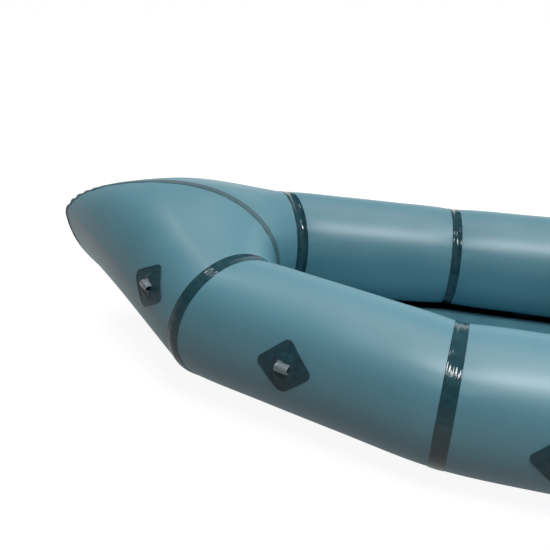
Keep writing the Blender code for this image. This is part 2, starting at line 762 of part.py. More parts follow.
def cushion(name, length, width, thickness, placing, mat):
    alongs = [math.sin(math.pi * (k / CUSHION_ALONG - 0.5)) for k in range(CUSHION_ALONG + 1)]
    acrosses = [math.sin(math.pi * (k / CUSHION_ACROSS - 0.5)) for k in range(CUSHION_ACROSS + 1)]
    points, numbers = [], {}
    for side in (1, -1):
        for i, s in enumerate(alongs):
            for j, c in enumerate(acrosses):
                on_rim = i in (0, CUSHION_ALONG) or j in (0, CUSHION_ACROSS)
                if on_rim and side == -1:
                    numbers[side, i, j] = numbers[1, i, j]
                    continue
                numbers[side, i, j] = len(points)
                points.append(pillow_point(s, c, side, length, width, thickness))
    faces = []
    for side in (1, -1):
        for i in range(CUSHION_ALONG):
            for j in range(CUSHION_ACROSS):
                faces.append([numbers[side, i + a, j + b] for a, b in ((0, 0), (1, 0), (1, 1), (0, 1))])
    obj = mesh_object(name, points, faces, mat, CUSHION_CREASE)
    obj.matrix_world = placing
    wall = obj.modifiers.new("fabric", "SOLIDIFY")
    wall.thickness = CUSHION_WALL
    wall.offset = -1
    return obj


def cut_round_hole(obj, name, radius, wall, placing):
    """Open a round hole through one wall of a piece."""
    depth = 2 * (wall + CUT_OVERRUN)
    bpy.ops.mesh.primitive_cylinder_add(vertices=ROUND, radius=radius, depth=depth)
    cutter = bpy.context.object
    cutter.name = name
    cutter.matrix_world = placing
    keep(cutter, None, CUTTERS)
    cutter.hide_render = True
    cutter.display_type = "WIRE"
    cut = obj.modifiers.new("hole", "BOOLEAN")
    cut.operation = "DIFFERENCE"
    cut.object = cutter


def turned(name, profile, placing, mat, on_axis=False):
    """A profile of (radius, height) points turned about the piece's own Z."""
    mesh = bpy.data.meshes.new(name)
    count = len(profile)
    edges = [(k, k + 1) for k in range(count - 1)]
    if not on_axis:
        edges.append((count - 1, 0))
    mesh.from_pydata([(r, 0.0, z) for r, z in profile], edges, [])
    obj = bpy.data.objects.new(name, mesh)
    obj.matrix_world = placing
    keep(obj, mat)
    screw = obj.modifiers.new("turn", "SCREW")
    screw.steps = ROUND
    screw.render_steps = ROUND
    screw.use_merge_vertices = on_axis
    screw.merge_threshold = MERGE_DISTANCE
    screw.use_smooth_shade = True
    return obj


def cushion_spot(shares, length, width, thickness):
    """A frame on a cushion's upper face: its point and its outward axis, in the cushion's axes."""
    s, c = shares
    point = pillow_point(s, c, 1, length, width, thickness)
    along = pillow_point(s + STEP, c, 1, length, width, thickness) - point
    across = pillow_point(s, c + STEP, 1, length, width, thickness) - point
    normal = unit(np.cross(along, across))
    side = unit(np.cross(normal, unit(along)))
    return matrix(point, np.cross(side, normal), side, normal)


def mouth_valve(name, cushion_object, placing, shares, size):
    """A twist-lock mouth valve: a flanged stem through the fabric and a piece that turns on it."""
    spot = placing @ cushion_spot(shares, *size)
    base = SEAM_GAP
    stem_top = MOUTH_STEM_HEIGHT
    stem = turned(name + "_valve_stem", [
        (MOUTH_STEM_RADIUS, stem_top), (MOUTH_STEM_RADIUS, base + MOUTH_FLANGE),
        (MOUTH_FLANGE_RADIUS, base + MOUTH_FLANGE), (MOUTH_FLANGE_RADIUS, base),
        (MOUTH_STEM_RADIUS, base), (MOUTH_STEM_RADIUS, -MOUTH_STEM_DEPTH),
        (MOUTH_BORE_RADIUS, -MOUTH_STEM_DEPTH), (MOUTH_BORE_RADIUS, stem_top)],
        spot, VALVE_PLASTIC)
    inner = MOUTH_STEM_RADIUS + RUNNING_GAP
    outer = inner + MOUTH_PIECE_WALL
    low = base + MOUTH_FLANGE + RUNNING_GAP
    top = stem_top + RUNNING_GAP + MOUTH_PIECE_RISE
    cavity = stem_top + RUNNING_GAP
    piece = turned(name + "_mouthpiece", [
        (MOUTH_BORE_RADIUS, top), (outer - MOUTH_PIECE_WALL / 2, top), (outer, cavity),
        (outer, low), (inner, low), (inner, cavity), (MOUTH_BORE_RADIUS, cavity)],
        spot, VALVE_PLASTIC)
    cut_round_hole(cushion_object, name + " valve hole", MOUTH_STEM_RADIUS + SEAM_GAP,
                   CUSHION_WALL, spot)
    return stem, piece


def hinge_leaf(name, corners):
    """A strip of fabric across the seat, from its section's corners in the boat's side view."""
    placing = matrix((0.0, 0.0, 0.0), (1, 0, 0), (0, 0, 1), (0, -1, 0))
    return prism(name, [corners], HINGE_WIDTH, placing, CUSHION_FABRIC)


SEAT_REAR = -STERN_RING_REACH - SEAT_SETBACK
SEAT_FRONT = SEAT_REAR + SEAT_LENGTH
FLOOR_AT_SEAT = float(floor_top(SEAT_FRONT))
SEAT_MIDDLE = FLOOR_AT_SEAT + SEAM_GAP + SEAT_THICKNESS / 2
SEAT_SIZE = (SEAT_LENGTH, SEAT_WIDTH, SEAT_THICKNESS)
SEAT_PLACING = matrix(((SEAT_FRONT + SEAT_REAR) / 2, 0.0, SEAT_MIDDLE),
                      (1, 0, 0), (0, 1, 0), (0, 0, 1))
HINGE_LEVEL = SEAT_MIDDLE + SEAT_THICKNESS / 2 + HINGE_SHEET + HINGE_GAP
LEAF_FRONT = SEAT_REAR - SEAM_GAP
LEAF_REAR = LEAF_FRONT - HINGE_SHEET

BACK_PLANE = SEAT_REAR - HINGE_SHEET - HINGE_GAP - BACK_THICKNESS / 2
BACK_FOOT = HINGE_LEVEL + HINGE_SHEET + HINGE_GAP
BACK_SIZE = (BACK_HEIGHT, BACK_WIDTH, BACK_THICKNESS)
BACK_PLACING = matrix((BACK_PLANE, 0.0, BACK_FOOT + BACK_HEIGHT / 2),
                      (0, 0, 1), (0, 1, 0), (-1, 0, 0))


def hinge_on(axis_point, pieces):
    """Hang pieces from an empty on their joint's axis, where they stand."""
    pivot = bpy.data.objects.new("backrest hinge", None)
    pivot.location = axis_point
    PARTS.objects.link(pivot)
    bpy.context.view_layer.update()
    for piece in pieces:
        piece.parent = pivot
        piece.matrix_parent_inverse = pivot.matrix_world.inverted()


def seat_and_backrest():
    seat = cushion("seat_base", *SEAT_SIZE, SEAT_PLACING, CUSHION_FABRIC)
    mouth_valve("seat", seat, SEAT_PLACING, SEAT_VALVE_SHARES, SEAT_SIZE)
    leaf_foot, leaf_top = SEAT_MIDDLE - HINGE_LAP, HINGE_LEVEL - HINGE_GAP
    hinge_leaf("seat_hinge_leaf", [(LEAF_FRONT, leaf_foot), (LEAF_FRONT, leaf_top),
                                   (LEAF_REAR, leaf_top), (LEAF_REAR, leaf_foot)])
    back = cushion("seat_back", *BACK_SIZE, BACK_PLACING, CUSHION_FABRIC)
    stem, piece = mouth_valve("back", back, BACK_PLACING, BACK_VALVE_SHARES, BACK_SIZE)
    leaf_end, leaf_top = BACK_PLANE - HINGE_LAP, HINGE_LEVEL + HINGE_SHEET
    leaf = hinge_leaf("back_hinge_leaf", [(LEAF_FRONT, HINGE_LEVEL), (LEAF_FRONT, leaf_top),
                                          (leaf_end, leaf_top), (leaf_end, HINGE_LEVEL)])
    hinge_on((LEAF_FRONT, 0.0, HINGE_LEVEL), [back, stem, piece, leaf])


seat_and_backrest()


# Main valve: its axis stands straight up from the crest of the starboard rear tube. Heights
# along the axis are measured from the tube's crest.

HOLE_RADIUS = VALVE_BARREL_RADIUS + SEAM_GAP
COLLAR_FOOT = PATCH_GAP + PATCH_SHEET + SEAM_GAP
NECK_RADIUS = VALVE_COLLAR_RADIUS - VALVE_LIP
LIP_TOP = -VALVE_SEAT_DEPTH
LIP_BOTTOM = LIP_TOP - VALVE_LIP
GUIDE_FOOT = LIP_TOP + SEAM_GAP
BUTTON_FOOT = GUIDE_FOOT + GUIDE_HEIGHT + SPRING_PRESSED + POPPET_TRAVEL
BUTTON_TOP = BUTTON_FOOT + BUTTON_HEIGHT
TETHER_FOOT = COLLAR_FOOT + RUNNING_GAP
SKIRT_RADIUS = NECK_RADIUS + RUNNING_GAP


def valve_seat_on_tube():
    """The welded patch and the hole under it; returns where the valve's parts are placed."""
    spot = spot_frame(REAR_PANEL, VALVE_REACH, QUARTER)
    sheet = welded_sheet("port valve patch", spot, circle(VALVE_PATCH_RADIUS, ROUND),
                         PATCH_FABRIC, HOLE_RADIUS)
    mirrored(sheet, "valve_patch")
    bpy.data.objects.remove(sheet)
    placing = Matrix.Translation(spot["origin"] * np.array([1.0, -1.0, 1.0]))
    rear = bpy.data.objects["rear_panel_starboard"]
    cut_round_hole(rear, "valve hole", HOLE_RADIUS, TUBE_WALL + TUBE_BULGE, placing)
    return placing


def valve_base(placing):
    """A collar on the patch and a barrel down into the tube, with a lip that the poppet meets."""
    turned("valve_base", [
        (NECK_RADIUS, VALVE_COLLAR_HEIGHT), (NECK_RADIUS, COLLAR_FOOT),
        (VALVE_BARREL_RADIUS, COLLAR_FOOT), (VALVE_BARREL_RADIUS, -VALVE_BARREL_DEPTH),
        (VALVE_BORE_RADIUS, -VALVE_BARREL_DEPTH), (VALVE_BORE_RADIUS, LIP_BOTTOM),
        (VALVE_SEAT_RADIUS, LIP_BOTTOM), (VALVE_SEAT_RADIUS, LIP_TOP),
        (VALVE_BORE_RADIUS, LIP_TOP), (VALVE_BORE_RADIUS, VALVE_COLLAR_HEIGHT)],
        placing, VALVE_PLASTIC)


def valve_guide(placing):
    """A spoked ring on the lip, whose hub guides the poppet's stem."""
    rim = VALVE_BORE_RADIUS - SEAM_GAP
    inner = rim - GUIDE_RIM
    outlines = [circle(rim, ROUND), circle(STEM_RADIUS + RUNNING_GAP, ROUND // 2)]
    for k in range(GUIDE_SPOKES):
        start = 2 * math.pi * k / GUIDE_SPOKES
        end = 2 * math.pi * (k + 1) / GUIDE_SPOKES
        wide = GUIDE_SPOKE / 2 / inner
        tight = GUIDE_SPOKE / 2 / GUIDE_HUB_RADIUS
        outlines.append(arc(0, 0, inner, start + wide, end - wide, 2 * CORNER_STEPS)
                        + arc(0, 0, GUIDE_HUB_RADIUS, end - tight, start + tight, CORNER_STEPS))
    middle = Matrix.Translation((0, 0, GUIDE_FOOT + GUIDE_HEIGHT / 2))
    prism("valve_guide", outlines, GUIDE_HEIGHT, placing @ middle, VALVE_PLASTIC)


def valve_poppet(placing):
    """A push button, a stem and the disc that closes against the lip from below."""
    disc_top = LIP_BOTTOM - SEAM_GAP
    disc_foot = disc_top - POPPET_SHEET
    turned("valve_poppet", [
        (0.0, BUTTON_TOP), (BUTTON_RADIUS, BUTTON_TOP), (BUTTON_RADIUS, BUTTON_FOOT),
        (STEM_RADIUS, BUTTON_FOOT), (STEM_RADIUS, disc_top), (POPPET_RADIUS, disc_top),
        (POPPET_RADIUS, disc_foot), (0.0, disc_foot)], placing, VALVE_PLASTIC, on_axis=True)


def valve_spring(placing):
    """A coil that stands on the guide's hub and lifts the button."""
    foot = GUIDE_FOOT + GUIDE_HEIGHT + SEAM_GAP + SPRING_WIRE
    head = BUTTON_FOOT - SEAM_GAP - SPRING_WIRE
    wire = bpy.data.curves.new("valve_spring", "CURVE")
    wire.dimensions = "3D"
    wire.bevel_depth = SPRING_WIRE
    wire.bevel_resolution = 1
    wire.use_fill_caps = True
    coil = wire.splines.new("POLY")
    count = SPRING_TURNS * SPRING_STEPS
    coil.points.add(count)
    for k, point in enumerate(coil.points):
        angle = 2 * math.pi * k / SPRING_STEPS
        height = foot + (head - foot) * k / count
        point.co = (SPRING_RADIUS * math.cos(angle), SPRING_RADIUS * math.sin(angle), height, 1.0)
    spring = bpy.data.objects.new("valve_spring", wire)
    spring.matrix_world = placing
    keep(spring, SPRING_STEEL)


def valve_cap(placing):
    """The cap that turns on the collar's neck."""
    skirt_foot = TETHER_FOOT + TETHER_SHEET + 2 * RUNNING_GAP
    roof = VALVE_COLLAR_HEIGHT + RUNNING_GAP
    turned("valve_cap", [
        (0.0, roof + CAP_TOP), (CAP_RADIUS - CAP_TOP / 2, roof + CAP_TOP),
        (CAP_RADIUS, roof + CAP_TOP / 2), (CAP_RADIUS, skirt_foot), (SKIRT_RADIUS, skirt_foot),
        (SKIRT_RADIUS, roof), (0.0, roof)], placing, VALVE_PLASTIC, on_axis=True)


def valve_tether(placing):
    """A loose ring round the neck under the cap, with a strap to pull by."""
    ring = SKIRT_RADIUS + TETHER_BAND
    half = TETHER_BAND / 2
    start = math.asin(half / ring)
    outline = (arc(0, 0, ring, start, 2 * math.pi - start, ROUND)
               + arc(ring + TETHER_STRAP, 0, half, -QUARTER, QUARTER, 2 * CORNER_STEPS))
    middle = Matrix.Translation((0, 0, TETHER_FOOT + TETHER_SHEET / 2))
    prism("valve_tether", [outline, circle(SKIRT_RADIUS, ROUND)], TETHER_SHEET,
          placing @ middle, VALVE_PLASTIC)


def main_valve():
    placing = valve_seat_on_tube()
    valve_base(placing)
    valve_guide(placing)
    valve_poppet(placing)
    valve_spring(placing)
    valve_cap(placing)
    valve_tether(placing)


main_valve()
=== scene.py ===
# %% [markdown]
# # An open packraft
#
# A packraft is a small inflatable boat that rolls up to fit in a rucksack. Its tube is welded from
# flat panels of coated nylon, and every weld is covered by a tape. This script dresses the packed
# model: the solids give each place and size, and the pieces made here give the fabric its smooth
# swell, its tapes their ridges and its loops their bend.
#
# Everything is in metres, the bow points along +X, port is +Y and the floor rests at z = 0.

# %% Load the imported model
import json
import math

import bmesh
import bpy
import numpy as np
from mathutils import Matrix, Vector


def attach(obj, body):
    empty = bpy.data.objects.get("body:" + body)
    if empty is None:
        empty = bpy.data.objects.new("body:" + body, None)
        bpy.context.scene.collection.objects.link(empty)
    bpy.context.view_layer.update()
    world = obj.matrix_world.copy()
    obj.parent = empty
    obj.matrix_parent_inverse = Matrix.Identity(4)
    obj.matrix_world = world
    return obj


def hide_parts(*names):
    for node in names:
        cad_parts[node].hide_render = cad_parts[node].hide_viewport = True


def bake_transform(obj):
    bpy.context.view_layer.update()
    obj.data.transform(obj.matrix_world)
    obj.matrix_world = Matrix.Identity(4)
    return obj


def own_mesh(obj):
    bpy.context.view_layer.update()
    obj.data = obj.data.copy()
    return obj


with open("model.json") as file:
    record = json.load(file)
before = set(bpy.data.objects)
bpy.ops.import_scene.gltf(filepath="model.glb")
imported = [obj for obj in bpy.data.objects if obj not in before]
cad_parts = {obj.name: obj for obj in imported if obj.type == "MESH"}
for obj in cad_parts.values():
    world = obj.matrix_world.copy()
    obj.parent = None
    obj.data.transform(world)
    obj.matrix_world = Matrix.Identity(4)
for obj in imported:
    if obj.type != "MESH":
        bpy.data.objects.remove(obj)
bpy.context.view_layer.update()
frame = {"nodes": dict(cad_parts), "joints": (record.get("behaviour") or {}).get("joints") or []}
bpy.ops.object.select_all(action="DESELECT")


def new_object(name, data):
    """An object with the given data, in the scene."""
    obj = bpy.data.objects.new(name, data)
    bpy.context.scene.collection.objects.link(obj)
    return obj


# %% [markdown]
# ## Camera
#
# The photograph was taken from over the port side, looking forward and down at the bow. The place
# and the lens were worked out from the seam rings, which are circles of known size.

# %% Camera
CAMERA_PLACE = Vector((0.0973, 1.2013, 0.8076))
CAMERA_FORWARD = Vector((0.25054, -0.85790, -0.44860))
LENS = 34.4
SENSOR = 36.0

camera_data = bpy.data.cameras.new("camera")
camera_data.lens, camera_data.sensor_width = LENS, SENSOR
camera = new_object("camera", camera_data)
camera.location = CAMERA_PLACE
camera.rotation_euler = CAMERA_FORWARD.to_track_quat("-Z", "Y").to_euler()
bpy.context.scene.camera = camera
bpy.context.scene.view_settings.view_transform = "Standard"
print("camera looks", tuple(round(c, 3) for c in CAMERA_FORWARD))

# %% [markdown]
# ## Materials
#
# One function turns a hex colour to the linear one that the shader wants, and one adds a node with
# what feeds it. Each material is named for what the real thing is made of, and its patterns are
# given in real millimetres. Most finishes here need the same three masks: slow clouds of two
# tones, a fine grain in the gloss, and the same grain as relief.

# %% Helpers for materials
MILLIMETRE = 0.001
WAVE_TURN = 20.0


def colour(code):
    """Linear RGBA from an sRGB hex code."""
    parts = [int(code[i:i + 2], 16) / 255 for i in (0, 2, 4)]
    linear = [p / 12.92 if p <= 0.04045 else ((p + 0.055) / 1.055) ** 2.4 for p in parts]
    return (*linear, 1.0)


def feed(node, inputs):
    """Give a node's inputs their values, or the sockets that feed them."""
    for key, value in inputs.items():
        if isinstance(value, bpy.types.NodeSocket):
            node.id_data.links.new(value, node.inputs[key])
        else:
            node.inputs[key].default_value = value


def add_node(mat, kind, settings=None, inputs=None, out=0):
    """Add a node with its settings and what feeds it, and return one of its outputs."""
    node = mat.node_tree.nodes.new("ShaderNode" + kind)
    for name, value in (settings or {}).items():
        setattr(node, name, value)
    feed(node, inputs or {})
    return node.outputs[out]


def new_material(name, code, roughness, **sockets):
    """A Principled material; sockets are its constant inputs, named with _ for a space."""
    mat = bpy.data.materials.new(name)
    mat.use_nodes = True
    mat.diffuse_color = colour(code)
    shader = mat.node_tree.nodes["Principled BSDF"]
    feed(shader, {"Base Color": colour(code), "Roughness": roughness})
    feed(shader, {key.replace("_", " "): value for key, value in sockets.items()})
    print("material:", name)
    return mat, shader


def dress(mat, shader, tones, rough, depth, tone, gloss, relief=None, span=(0.35, 0.65)):
    """Give a material its two tones, roughness and depth of relief, each from its mask."""
    ramp = add_node(mat, "ValToRGB", None, {"Fac": tone})
    for stop, position, code in zip(ramp.node.color_ramp.elements, span, tones):
        stop.position, stop.color = position, colour(code)
    spread = add_node(mat, "MapRange", None,
                      {"Value": gloss, "To Min": rough[0], "To Max": rough[1]})
    feed(shader, {"Base Color": ramp, "Roughness": spread})
    if depth:
        feed(shader, {"Normal": add_node(mat, "Bump", None, {
            "Height": relief, "Distance": depth * MILLIMETRE, "Strength": 1.0})})


def patterned(name, code, roughness, clouds, tones, grain, rough, depth=0, **sockets):
    """A finish of clouds and grain that follow the object; their sizes are in millimetres."""
    mat, shader = new_material(name, code, roughness, **sockets)
    spot = add_node(mat, "TexCoord", out="Object")
    layers = ((clouds, 3), (grain, 3), (grain, 2)) if depth else ((clouds, 3), (grain, 3))
    masks = [add_node(mat, "TexNoise", None, {"Vector": spot, "Scale": 1 / (size * MILLIMETRE),
                                              "Detail": detail}) for size, detail in layers]
    dress(mat, shader, tones, rough, depth, *masks)
    return mat


# %% [markdown]
# ### Coated nylon of the tube
#
# The tube is nylon with a soft plastic film on it. The threads are 0.3 mm apart, which is too fine
# to show, so only a faint unevenness is drawn, with pores of 2.5 mm and slow clouds of 120 mm. The
# film gives a broad, soft highlight.

# %% Coated nylon
hull_fabric = patterned("coated nylon", "6198a9", 0.41, clouds=120, tones=("5e96a6", "639aaa"),
                        grain=2.5, rough=(0.38, 0.44), depth=0.02, Specular_IOR_Level=0.9)

# %% [markdown]
# ### Seam tape
#
# The tape is a glossy film welded over each seam. It has a dark tint, and a sharp reflection that
# its ridges break into bars. The ridges are in the mesh; the material adds the film's own haze.
# The tape on the centre line has a satin face. The one beside the floor is coloured near black, as
# painted shade of the dark corner where the floor meets the tube.

# %% Seam tape
seam_tape = patterned("glossy seam tape", "284b55", 0.08, clouds=14, tones=("24464f", "2c525c"),
                      grain=14, rough=(0.05, 0.11))
centre_tape = patterned("satin seam tape", "4c6b74", 0.42, clouds=14, tones=("456570", "53737c"),
                        grain=14, rough=(0.36, 0.5))
# Near black: painted shade of the corner where the floor meets the tube, on a real tape.
floor_tape = patterned("black floor tape", "0d1113", 0.35, clouds=14, tones=("0a0e10", "12171a"),
                       grain=14, rough=(0.3, 0.42))

# %% [markdown]
# ### Floor fabric
#
# The floor is a heavier nylon of the same colour with a thicker coat, a little less glossy. It is
# coloured lighter than the tube, as painted light for the light that the floor lacks between the
# tubes.

# %% Floor fabric
# Lighter than the tube's nylon: painted light.
floor_fabric_painted_light = patterned("heavy coated nylon", "6aa5b5", 0.42, clouds=70,
                         tones=("65a0b0", "6faaba"), grain=2.5, rough=(0.38, 0.48), depth=0.03)

# %% [markdown]
# ### Patch cloth and webbing
#
# A tie-down patch is a darker coated cloth. The webbing of its loop is dipped in the same plastic,
# so it is glossy over ribs that run across it, 1.7 mm apart. The ribs follow the strap by its UV
# map.

# %% Patch cloth and webbing
RIB_PITCH = 1.7 * MILLIMETRE

patch_cloth = patterned("coated patch cloth", "2a4e58", 0.42, clouds=14,
                        tones=("25464f", "2d525c"), grain=1.6, rough=(0.34, 0.48), depth=0.05,
                        Specular_IOR_Level=0.3)

webbing, shader = new_material("dipped webbing", "76868d", 0.26, Coat_Weight=0.8,
                               Coat_Roughness=0.12)
strap = add_node(webbing, "TexCoord", out="UV")
rib = add_node(webbing, "TexWave", {"bands_direction": "X"},
               {"Vector": strap, "Scale": 2 * math.pi / (RIB_PITCH * WAVE_TURN),
                "Distortion": 0.4, "Detail": 1}, out="Fac")
dress(webbing, shader, ("6c7d84", "829198"), (0.32, 0.24), 0.05, rib, rib, rib, span=(0.2, 0.8))

# %% [markdown]
# ## The shape of the tube
#
# Each packed panel is a sleeve with 28 points round it at every station. The loops of its outer
# wall are found by walking from one open end to the other, and then put in one order: point 0 is
# the outermost, and the count runs up over the top. All the port loops, from the stern to the bow,
# make a net, and a smooth surface through the net is what every sheet on the boat follows.

# %% Walk the loops of a panel
AROUND = 28
WELD = 1e-5
SKIN_CREASE = math.radians(60)
SIDE_ENDS = ("stern_panel_port", "rear_panel_port", "front_panel_port", "bow_panel_port")


def outer_wall(shape):
    """Faces of a sleeve's outer wall, spread from its highest face over soft edges."""
    start = max(shape.faces, key=lambda f: f.calc_center_median().z)
    wall, front = {start}, [start]
    while front:
        face = front.pop()
        for edge in face.edges:
            for other in edge.link_faces:
                if other not in wall and face.normal.angle(other.normal) < SKIN_CREASE:
                    wall.add(other)
                    front.append(other)
    return wall


def open_ends(wall):
    """The two closed lines of points where a wall stops, the aftmost first."""
    rims = {}
    for face in wall:
        for edge in face.edges:
            if sum(other in wall for other in edge.link_faces) == 1:
                a, b = edge.verts
                rims.setdefault(a, []).append(b)
                rims.setdefault(b, []).append(a)
    ends = []
    while rims:
        line = [next(iter(rims))]
        while onward := [v for v in rims.pop(line[-1]) if v in rims]:
            line.append(onward[0])
        ends.append(line)
    return sorted(ends, key=lambda line: sum(v.co.x for v in line))


def next_loop(loop, wall, passed):
    """The loop of points after this one, in the same order."""
    shared = []
    for a, b in zip(loop, loop[1:] + loop[:1]):
        both = [f for f in a.link_faces if f in wall and b in f.verts]
        shared.append(next(v for f in both for v in f.verts if v not in passed))
    shifted = shared[-1:] + shared[:-1]
    reach = [sum((a.co - b.co).length for a, b in zip(loop, other)) for other in (shared, shifted)]
    return shared if reach[0] <= reach[1] else shifted


def panel_loops(node):
    """A panel's outer loops from aft to fore, as stations x points x 3."""
    shape = bmesh.new()
    shape.from_mesh(frame["nodes"][node].data)
    bmesh.ops.remove_doubles(shape, verts=shape.verts, dist=WELD)
    shape.normal_update()
    wall = outer_wall(shape)
    loop, last = open_ends(wall)
    goal, passed, loops = set(last), set(loop), [loop]
    while not goal <= passed:
        loop = next_loop(loop, wall, passed)
        passed.update(loop)
        loops.append(loop)
    found = np.array([[v.co[:] for v in line] for line in loops])
    shape.free()
    return found


def in_order_of(loops, index, model):
    """Renumber every loop so that loop number index lies on the model loop's points."""
    order = [int(np.argmin(np.linalg.norm(loops[index] - p, axis=1))) for p in model]
    return loops[:, order]


stern, rear, front, bow = [panel_loops(name) for name in SIDE_ENDS]
outermost = int(np.argmax(front[0][:, 1]))
front = np.roll(front, -outermost, axis=1)
if front[0][1, 2] < front[0][-1, 2]:
    front = np.roll(front[:, ::-1], 1, axis=1)
rear = in_order_of(rear, -1, front[0])
stern = in_order_of(stern, -1, rear[0])
bow = in_order_of(bow, 0, front[-1])
print("loops:", len(stern), len(rear), len(front), len(bow))

# %% [markdown]
# Two panels that meet are 0.3 mm apart, and their two loops become one here. A surface point is
# then asked for by station (a number from 0 at the stern to 30 at the bow) and by turn (a number
# from 0 to 28 round the tube). Round the tube it is a closed cubic spline; along the tube it is
# a cubic whose slope at each station comes from the real distances on either side of it.

# %% One net and its smooth surface


def joined(*groups):
    """All stations in one net, the twin loops of each seam averaged."""
    net = list(groups[0])
    for group in groups[1:]:
        net[-1] = (net[-1] + group[0]) / 2
        net += list(group[1:])
    return np.array(net)


NET = joined(stern, rear, front, bow)
STERN_SEAM = len(stern) - 1
MID_SEAM = STERN_SEAM + len(rear) - 1
BOW_SEAM = MID_SEAM + len(front) - 1
BOW_END = len(NET) - 1
KEEL_TURN = 3 * AROUND / 4
BEYOND = np.concatenate([2 * NET[:1] - NET[1:2], NET, 2 * NET[-1:] - NET[-2:-1]])


def girth_weights(turns):
    """What each of a loop's points adds to the closed cubic spline at these turns."""
    turns = np.asarray(turns, float) % AROUND
    knots = np.eye(AROUND) * 4 / 6
    for shift in (1, -1):
        knots += np.roll(np.eye(AROUND), shift, axis=1) / 6
    first = np.floor(turns).astype(int)
    t = turns - first
    parts = ((1 - t) ** 3, 3 * t ** 3 - 6 * t ** 2 + 4,
             -3 * t ** 3 + 3 * t ** 2 + 3 * t + 1, t ** 3)
    weights = np.zeros((len(turns), AROUND))
    for k, part in enumerate(parts):
        weights[np.arange(len(turns)), (first + k - 1) % AROUND] += part / 6
    return weights @ np.linalg.inv(knots)


def tube_points(stations, turns):
    """Points of the tube's outer face, one for each pair of a station and a turn."""
    k = np.clip(np.floor(stations).astype(int), 0, BOW_END - 1)
    t = (np.asarray(stations) - k)[:, None]
    weights = girth_weights(turns)
    a, b, c, d = [np.einsum("np,npc->nc", weights, BEYOND[k + i]) for i in range(4)]
    before, span, after = [np.linalg.norm(g, axis=1, keepdims=True) for g in (b - a, c - b, d - c)]
    leaving = (span * (b - a) / before + before * (c - b) / span) / (before + span)
    arriving = (after * (c - b) / span + span * (d - c) / after) / (span + after)
    return ((2 * t ** 3 - 3 * t ** 2 + 1) * b + (t ** 3 - 2 * t ** 2 + t) * span * leaving
            + (3 * t ** 2 - 2 * t ** 3) * c + (t ** 3 - t ** 2) * span * arriving)


def unit(v):
    return v / np.maximum(np.linalg.norm(v, axis=-1, keepdims=True), 1e-12)


def outward(stations, turns):
    """Unit normals of the tube's outer face, one for each pair."""
    step = 0.05
    ahead = tube_points(np.minimum(stations + step, BOW_END), turns)
    back = tube_points(np.maximum(stations - step, 0), turns)
    around = tube_points(stations, turns + step) - tube_points(stations, turns - step)
    return unit(np.cross(around, ahead - back))


def tube(stations, turns):
    """Points and normals of the tube's outer face, each as stations x turns x 3."""
    pairs = [a.ravel() for a in np.meshgrid(stations, turns, indexing="ij")]
    shape = len(stations), len(turns), 3
    return tube_points(*pairs).reshape(shape), outward(*pairs).reshape(shape)


def run_along(points):
    """The length walked from the first row of points to each row."""
    steps = np.linalg.norm(np.diff(points, axis=0), axis=-1)
    return np.concatenate([np.zeros_like(steps[:1]), np.cumsum(steps, axis=0)])


middle, normals = tube([MID_SEAM], [0, AROUND / 4])
print("net:", NET.shape, "mid ring outboard and top:", np.round(middle[0], 3).tolist(),
      "normals", np.round(normals[0], 2).tolist())

# %% [markdown]
# A grid of points becomes a mesh by one helper, closed round the tube or open. The starboard side
# is the port side's mirror image, and its faces are turned over so that they still look outward.

# %% Helpers for meshes


def grid_mesh(name, grid, close_across=True, close_along=False):
    """A mesh of four-sided faces over a grid of rows x columns x 3."""
    rows, columns = grid.shape[:2]
    down = [(i, (i + 1) % rows) for i in range(rows if close_along else rows - 1)]
    over = [(j, (j + 1) % columns) for j in range(columns if close_across else columns - 1)]
    faces = [(a * columns + c, a * columns + d, b * columns + d, b * columns + c)
             for a, b in down for c, d in over]
    mesh = bpy.data.meshes.new(name)
    mesh.from_pydata(grid.reshape(-1, 3).tolist(), [], faces)
    mesh.shade_smooth()
    return new_object(name, mesh)


def twin(obj, name):
    """The starboard twin of a port piece, with its own mesh."""
    mesh = obj.data.copy()
    mesh.name = name
    mesh.transform(Matrix.Scale(-1, 4, Vector((0, 1, 0))))
    mesh.flip_normals()
    return new_object(name, mesh)


def apply_modifiers(obj):
    bpy.context.view_layer.objects.active = obj
    obj.select_set(True)
    for item in list(obj.modifiers):
        bpy.ops.object.modifier_apply(modifier=item.name)
    obj.select_set(False)


def modified(obj, kind, **settings):
    """Add one modifier with its settings and apply it."""
    item = obj.modifiers.new(kind, kind)
    for name, value in settings.items():
        setattr(item, name, value)
    apply_modifiers(obj)


def thicken(obj, thickness):
    """Give a sheet its thickness, inward from the face that shows."""
    modified(obj, "SOLIDIFY", thickness=thickness, offset=-1)


def finished(obj, mat, nodes, body="hull"):
    """Give a piece its material, the solids it stands for and the body it rides on."""
    obj.data.materials.clear()
    obj.data.materials.append(mat)
    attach(obj, body)
    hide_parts(*nodes)
    print(obj.name, "faces:", len(obj.data.polygons))
    return obj


def both_sides(port, mat, nodes, sheet=0):
    """Finish a port piece and its starboard twin; nodes is their solids' name, less the side."""
    starboard = twin(port, port.name[:-len("port")] + "starboard")
    for side, obj in (("port", port), ("starboard", starboard)):
        if sheet:
            thicken(obj, sheet)
        finished(obj, mat, [f"{nodes}_{side}"])


# %% [markdown]
# ### Tube panels
#
# A welded panel isn't quite smooth. The tape holds its edge back, so the fabric gathers in faint
# puckers across the seam that fade within a few centimetres. At the very tip of the bow the seam
# turns tightly, and there the gathers stand up as a row of small scallops.

# %% Puckers of the fabric
COLUMNS = 168
BOW_COLUMNS = 280
ROW_PITCH = 0.009
PUCKER = 0.0003
PUCKER_FADE = 0.035
PUCKERS_AROUND = 23
SCALLOP = 0.0055
SCALLOP_PITCH = 0.03
SCALLOP_FADE = 0.030
SCALLOP_MIDDLE = 2.1
SCALLOP_SPREAD = 1.5
FABRIC = 0.0006
PANELS = {"stern_panel": (0, STERN_SEAM), "rear_panel": (STERN_SEAM, MID_SEAM),
          "front_panel": (MID_SEAM, BOW_SEAM), "bow_panel": (BOW_SEAM, BOW_END)}


